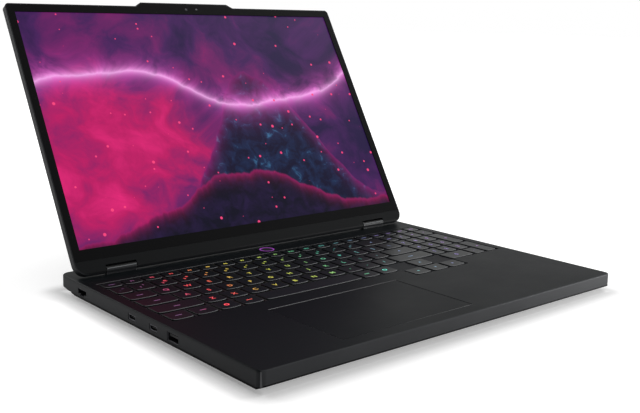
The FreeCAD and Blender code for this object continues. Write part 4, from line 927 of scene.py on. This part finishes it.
def make_socket(node, width, height, corner, blade, thick, rise, count, faces):
    """Side sockets of one CAD node: a drawn shell with a rounded mouth, a tongue and its contacts."""
    hole = rounded_box(width, height, corner)
    flare = rounded_box(width + SOCKET_LIP, height + SOCKET_LIP, corner + SOCKET_LIP / 2)
    slim = rounded_box(blade, thick, TONGUE_CORNER)
    nose = rounded_box(blade - NOSE_TAPER[0], thick - NOSE_TAPER[1], NOSE_CORNER)
    pitch = (blade - CONTACT_MARGIN) / count
    contact = rounded_box(pitch * CONTACT_SHARE, CONTACT_THICK, CONTACT_CORNER, steps=1)
    bm = bmesh.new()
    for lo, hi in islands(node):
        middle = (lo + hi) / 2
        side = math.copysign(1.0, middle.x)
        mouth = max(abs(lo.x), abs(hi.x)) * side
        back = min(abs(lo.x), abs(hi.x)) * side

        def loop(points, x, up=0.0):
            """An outline set upright at a place across the base."""
            return [(x, middle.y + side * a * MM, middle.z + (b + up) * MM) for a, b in points]

        outer = rounded_box((hi.y - lo.y) / MM, (hi.z - lo.z) / MM, SOCKET_CORNER)
        throat = mouth - side * LIP_DEPTH * MM
        floor = back + side * SOCKET_FLOOR * MM
        shell = [(outer, back), (outer, mouth), (flare, mouth), (hole, throat), (hole, floor)]
        add_loft(bm, [loop(points, x) for points, x in shell], SHELL_FINISH)
        tip = mouth - side * TONGUE_BACK * MM
        shoulder = tip - side * NOSE_LENGTH * MM
        tongue = [(slim, floor), (slim, shoulder), (nose, tip)]
        add_loft(bm, [loop(points, x, rise) for points, x in tongue], TONGUE_FINISH)
        ends = [tip - side * inward * MM for inward in CONTACT_RUN]
        for face in faces:
            for number in range(count):
                across = (number - (count - 1) / 2) * pitch
                strip = [(across + a, face * (thick / 2) + b) for a, b in contact]
                add_loft(bm, [loop(strip, x, rise) for x in ends], CONTACT_FINISH)
    made = piece("detailed_" + node, bm, node, PORT_STEEL, INNER, GOLD)
    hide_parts(node)


for socket_node, socket_sizes in SOCKETS.items():
    make_socket(socket_node, **socket_sizes)

# The network socket's contacts in millimetres: how many, their pitch, width, thickness and corner, and the
# points that each wire follows, counted inward from the mouth and down from the top.
NETWORK_CONTACTS = 8
NETWORK_PITCH = 1.02
NETWORK_WIRE = (0.45, 0.27)
NETWORK_CORNER = 0.08
NETWORK_RUN = ((2.2, 0.62), (6.0, 1.1), (9.5, 2.3))


def make_network_contacts():
    """Bent contact wires inside the network socket."""
    lo, hi = islands("ethernet_port")[0]
    middle = (lo + hi) / 2
    section = rounded_box(*NETWORK_WIRE, NETWORK_CORNER, steps=2)
    bm = bmesh.new()
    for number in range(NETWORK_CONTACTS):
        across = (number - (NETWORK_CONTACTS - 1) / 2) * NETWORK_PITCH
        loops = []
        for inward, down in NETWORK_RUN:
            place = Vector((lo.x + inward * MM, middle.y + across * MM, hi.z - down * MM))
            loops.append([place + Vector((0, a * MM, b * MM)) for a, b in section])
        add_loft(bm, loops)
    piece("network_contacts", bm, "ethernet_port", GOLD)


make_network_contacts()

# Screws in millimetres: shank radius, head height, the head's rounding as inset and rise from its face, and
# the cross recess, which narrows towards its floor.
SCREW_SIDES = 48
SHANK_RADIUS = 1.2
HEAD_HEIGHT = 0.6
HEAD_ROUNDING = [(0.0, 0.2), (0.25, 0.03), (0.5, 0.0)]
CROSS_REACH = 1.25
CROSS_HALF = 0.3
CROSS_DEPTH = 0.38
CROSS_TAPER = 0.82
TINY = 1e-6


def cross_radius(turn):
    """How far a cross reaches from its middle in one direction."""
    small, large = sorted((abs(math.sin(turn)), abs(math.cos(turn))))
    return min(CROSS_REACH / large, CROSS_HALF / max(small, TINY))


def make_screws():
    """The underside's screws, each with a cross recess in its head."""
    bm = bmesh.new()
    turns = [2 * math.pi * i / SCREW_SIDES for i in range(SCREW_SIDES)]
    circle = [1.0] * SCREW_SIDES
    cross = [cross_radius(t) for t in turns]
    for lo, hi in islands("bottom_screws"):
        middle = (lo + hi) / 2
        radius = (hi.x - lo.x) / 2 / MM
        rows = [(circle, SHANK_RADIUS, (hi.z - lo.z) / MM), (circle, SHANK_RADIUS, HEAD_HEIGHT)]
        rows.append((circle, radius, HEAD_HEIGHT))
        rows += [(circle, radius - inset, rise) for inset, rise in HEAD_ROUNDING]
        rows += [(cross, 1.0, 0.0), (cross, CROSS_TAPER, CROSS_DEPTH)]
        loops = []
        for outline, size, rise in rows:
            reaches = [reach * size * MM for reach in outline]
            z = lo.z + rise * MM
            loops.append([
                (middle.x + reach * math.cos(t), middle.y + reach * math.sin(t), z)
                for reach, t in zip(reaches, turns)
            ])
        add_loft(bm, loops)
    made = piece("cross_screws", bm, "bottom_screws", SCREW_STEEL)
    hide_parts("bottom_screws")


make_screws()

# Nodes that keep their shape: how much their edges are rounded, in millimetres, and the edges' own finish, which
# where it is lighter is a painted highlight.
DRESSED = {
    "rear_grille": (0.2, SHELL_EDGE_HIGHLIGHT),
    "screen_bezel": (0.15, None),
    "hinge_cover": (0.2, CHIN_EDGE_HIGHLIGHT),
    "hinge_knuckle_left": (0.35, SHELL_EDGE_HIGHLIGHT),
    "hinge_knuckle_right": (0.35, SHELL_EDGE_HIGHLIGHT),
    "touchpad": (0.15, TOUCH_EDGE),
    "power_button": (0.25, None),
    "camera_switch": (0.2, None),
    "front_feet": (0.5, None),
    "rear_foot": (0.5, None),
}
for dressed_node, (edge_width, edge_finish) in DRESSED.items():
    dress(dressed_node, edge_width, edge_finish)

COVER_EDGE = 0.3
# A face looks in a direction if its normal goes this far along it, and is a wall if its normal rises less.
FACING = 0.9
WALL_UP = 0.5


def make_lid_back():
    """The lid's back cover: a satin back, and dark edges."""
    made = dress("lid_back_cover", COVER_EDGE, LID_SHELL)
    made.data.materials.append(LID_BACK)
    behind = LID.to_3x3() @ Vector((0, 0, -1))
    for face in made.data.polygons:
        if face.normal.dot(behind) > FACING:
            face.material_index = len(made.data.materials) - 1


def make_belly():
    """The bottom cover: a satin underside, and painted shade, a near-black finish, where it shows below the walls.
    """
    made = dress("bottom_cover", COVER_EDGE, SHELL_FOOT_SHADE)
    for face in made.data.polygons:
        if abs(face.normal.z) < WALL_UP:
            face.material_index = len(made.data.materials) - 1


make_lid_back()
make_belly()

DECK_EDGE = 0.22
# The top cover's faces are told apart by place and normal. The rim lies within this drop of the deck, and
# the walls within this depth of the outside.
RIM_DROP = 1.1 * MM
WALL_DEPTH = 1.2 * MM
FLAT_UP = 0.95
RIM_UP = 0.1
TURN_UP = 0.35
CORNER_UP = 0.3
CORNER_LEAN = 0.6
FRONT_LEAN = -0.7
# The front wall ends in a line of painted shade of this height. Its lowest points lie within this depth of the
# front.
FRONT_SHADE_LINE = 1.1 * MM
FOOT_DEPTH = 0.5 * MM
# Edges of the deck's openings with a painted highlight, a lighter finish: level with the deck, this far inside,
# and sharper than this. Those on walls that look to the left stay plain.
OPENING_EDGE = 0.35 * MM
OPENING_SEGMENTS = 3
OPENING_INSIDE = 4 * MM
OPENING_ANGLE = math.radians(60)
DECK_LEVEL = 0.01 * MM
LEFT_LEAN = -0.5


def make_deck():
    """The top cover: matt deck in a darker finish that paints shade, satin walls with a lighter front wall that
    paints light, a soft rim with a painted highlight, painted highlights on the edges at openings and front
    corners, and a line of painted shade at the front wall's foot.
    """
    made = dress("top_cover", DECK_EDGE, SHELL_RIM_HIGHLIGHT)
    mesh = made.data
    rim = len(mesh.materials) - 1
    finishes = (DECK_SHADE_MATT, SHELL_EDGE_HIGHLIGHT, SHELL_FOOT_SHADE, SHELL_FRONT_LIT, SHELL_SIDE)
    for finish in finishes:
        mesh.materials.append(finish)
    flat, bright, dark, front, side = (rim + 1 + i for i in range(len(finishes)))
    for face in mesh.polygons:
        across, along, up = (abs(part) for part in face.normal)
        high = face.center.z > DECK - RIM_DROP
        # The deck's top takes the darker deck finish, painted shade.
        if high and face.normal.z > FLAT_UP:
            face.material_index = flat
        # The rim takes the lighter rim finish, a painted highlight.
        elif high and face.normal.z > RIM_UP and along > across:
            face.material_index = rim
        # Front corners that face both ways take the lighter edge finish, a painted highlight.
        elif up < CORNER_UP and min(across, along) > CORNER_LEAN and face.center.y < 0:
            face.material_index = bright
        # Side walls: faces of their turn that look up take the darker deck finish, painted shade, and the rest the
        # side finish with its painted shade at the top.
        elif abs(face.center.x) > BASE_HI.x - WALL_DEPTH and across > along:
            face.material_index = flat if face.normal.z > TURN_UP else side
        # The front wall takes its lighter finish, painted light.
        elif face.normal.y < FRONT_LEAN and face.center.y < BASE_LO.y + WALL_DEPTH:
            face.material_index = front
    bm = bmesh.new()
    bm.from_mesh(mesh)
    foot = min(v.co.z for v in bm.verts if v.co.y < BASE_LO.y + FOOT_DEPTH) + FRONT_SHADE_LINE
    everything = list(bm.verts) + list(bm.edges) + list(bm.faces)
    bmesh.ops.bisect_plane(bm, geom=everything, plane_co=(0, 0, foot), plane_no=(0, 0, 1))
    # The front wall's lowest strip takes the near-black foot finish, painted shade.
    for face in bm.faces:
        if face.normal.y < -FACING and face.calc_center_median().z < foot:
            face.material_index = dark
    weight = bm.edges.layers.float.new("bevel_weight_edge")
    inside_x, inside_y = BASE_HI.x - OPENING_INSIDE, BASE_HI.y - OPENING_INSIDE
    for edge in bm.edges:
        level = all(v.co.z > DECK - DECK_LEVEL for v in edge.verts)
        inner = all(abs(v.co.x) < inside_x and abs(v.co.y) < inside_y for v in edge.verts)
        turned = any(face.normal.x < LEFT_LEAN for face in edge.link_faces)
        if level and inner and not turned and edge.calc_face_angle(0.0) > OPENING_ANGLE:
            edge[weight] = 1.0
    bm.to_mesh(mesh)
    bm.free()
    opening = made.modifiers.new("openings", "BEVEL")
    opening.width = OPENING_EDGE
    opening.segments = OPENING_SEGMENTS
    opening.limit_method = "WEIGHT"
    # The openings' rounded edges take the lighter edge finish, a painted highlight.
    opening.material = bright
    made.modifiers.move(len(made.modifiers) - 1, 0)


make_deck()

FLOOR_HALF = 12.0
FLOOR_TONES = [(NOISE_LOW, (0.83, 0.83, 0.83, 1.0)), (NOISE_HIGH, (0.84, 0.84, 0.84, 1.0))]
# The floor's own white below the base, and how it changes from one distance to another away from it: it dips close
# to the base and rises further out, a painted shadow round the base. Along the sides it all lies a little further
# in, because the base is lower there.
FLOOR_CONTACT = 0.32
FLOOR_SHADOW_STEPS = [(-0.004, 0.0035, -0.28), (0.0, 0.022, 0.38), (0.02, 0.3, 0.2)]
FLOOR_SIDE = 0.0024
WORLD_LIGHT = 0.6
# The camera that was fitted to the photograph's straight edges.
IMAGE_WIDTH = 640
FOCAL_PIXELS = 938.04
CENTRE_OFF = (-4.35, -29.57)
SENSOR_WIDTH = 36.0
CLIP_START = 0.01
CAMERA_PLACE = Vector((-0.470864, -0.525053, 0.207014))
CAMERA_RIGHT = Vector((0.765075, -0.643723, 0.016762))
CAMERA_DOWN = Vector((-0.094510, -0.138000, -0.985913))
CAMERA_FORWARD = Vector((0.636968, 0.752713, -0.166419))


def make_floor():
    """A white floor that keeps the object's shadow: part of its white is its own, as the camera sees it."""
    bm = bmesh.new()
    bmesh.ops.create_grid(bm, x_segments=1, y_segments=1, size=FLOOR_HALF)
    floor = link_mesh("floor", bm)
    floor.location.z = CAD_BOUNDS[0][2]
    g = Graph("floor_white")
    place = g.place()
    base = g.ramp(g.noise(place, scale=3.0), FLOOR_TONES)
    x, y, _ = g.split(place)
    past_side = g.math("SUBTRACT", g.math("ABSOLUTE", x), BASE_HI.x - FLOOR_SIDE)
    past_end = g.math("SUBTRACT", g.math("ABSOLUTE", y), BASE_HI.y)
    outside = [g.math("POWER", g.math("MAXIMUM", past, 0.0), 2.0) for past in (past_side, past_end)]
    inside = g.math("MINIMUM", g.math("MAXIMUM", past_side, past_end), 0.0)
    away = g.math("ADD", g.math("SQRT", g.math("ADD", *outside)), inside)
    # Painted shadow: the floor's own white is low at the base and rises with the distance away from it.
    white = FLOOR_CONTACT
    for low, high, change in FLOOR_SHADOW_STEPS:
        white = g.math("ADD", g.spread(away, low, high, 0.0, change, smooth=True), white)
    own = g.math("MULTIPLY", white, g.seen())
    finish = g.surface(Base_Color=base, Roughness=0.9, Specular_IOR_Level=0.1, Emission_Color=WHITE,
                       Emission_Strength=own)
    floor.data.materials.append(finish)


def make_world():
    """White where it is seen or reflected, and softer as a light on the object."""
    g = Graph("studio", world=True)
    unseen, seen = (g.add("ShaderNodeBackground", WHITE, light).outputs[0] for light in (WORLD_LIGHT, 1.0))
    mixed = g.add("ShaderNodeMixShader", g.seen(), unseen, seen)
    g.put(g.out.inputs["Surface"], mixed.outputs[0])
    bpy.context.scene.world = g.owner


def make_lamp(name, place, aim, size, power):
    """A soft box of a width and height, aimed at a point and not seen itself."""
    data = bpy.data.lights.new(name, "AREA")
    data.shape = "RECTANGLE"
    data.size, data.size_y = size
    data.energy = power
    lamp = link(name, data)
    lamp.visible_camera = False
    lamp.location = place
    lamp.rotation_euler = (Vector(aim) - Vector(place)).to_track_quat("-Z", "Y").to_euler()


def make_camera():
    """The photograph's view."""
    data = bpy.data.cameras.new("camera")
    data.sensor_width = SENSOR_WIDTH
    data.lens = FOCAL_PIXELS / IMAGE_WIDTH * SENSOR_WIDTH
    data.shift_x = -CENTRE_OFF[0] / IMAGE_WIDTH
    data.shift_y = CENTRE_OFF[1] / IMAGE_WIDTH
    data.clip_start = CLIP_START
    camera = link("camera", data)
    right, down, forward = (axis.normalized() for axis in (CAMERA_RIGHT, CAMERA_DOWN, CAMERA_FORWARD))
    turn = Matrix((right, -down, -forward)).transposed()
    camera.matrix_world = Matrix.Translation(CAMERA_PLACE) @ turn.to_4x4()
    bpy.context.scene.camera = camera


make_floor()
make_world()
make_lamp("front_box", place=(0.48, -0.36, 0.036), aim=(0.1, -0.128, 0.006), size=(0.26, 0.05), power=2.75)
make_lamp("edge_box", place=(1.15, -0.2, 1.35), aim=(0, 0, 0), size=(0.7, 0.7), power=9.0)
make_lamp("rear_box", place=(-0.5, 1.7, 0.8), aim=(0, 0.1, 0.08), size=(1.2, 0.8), power=14.0)
make_camera()
bpy.context.scene.view_settings.view_transform = "Standard"
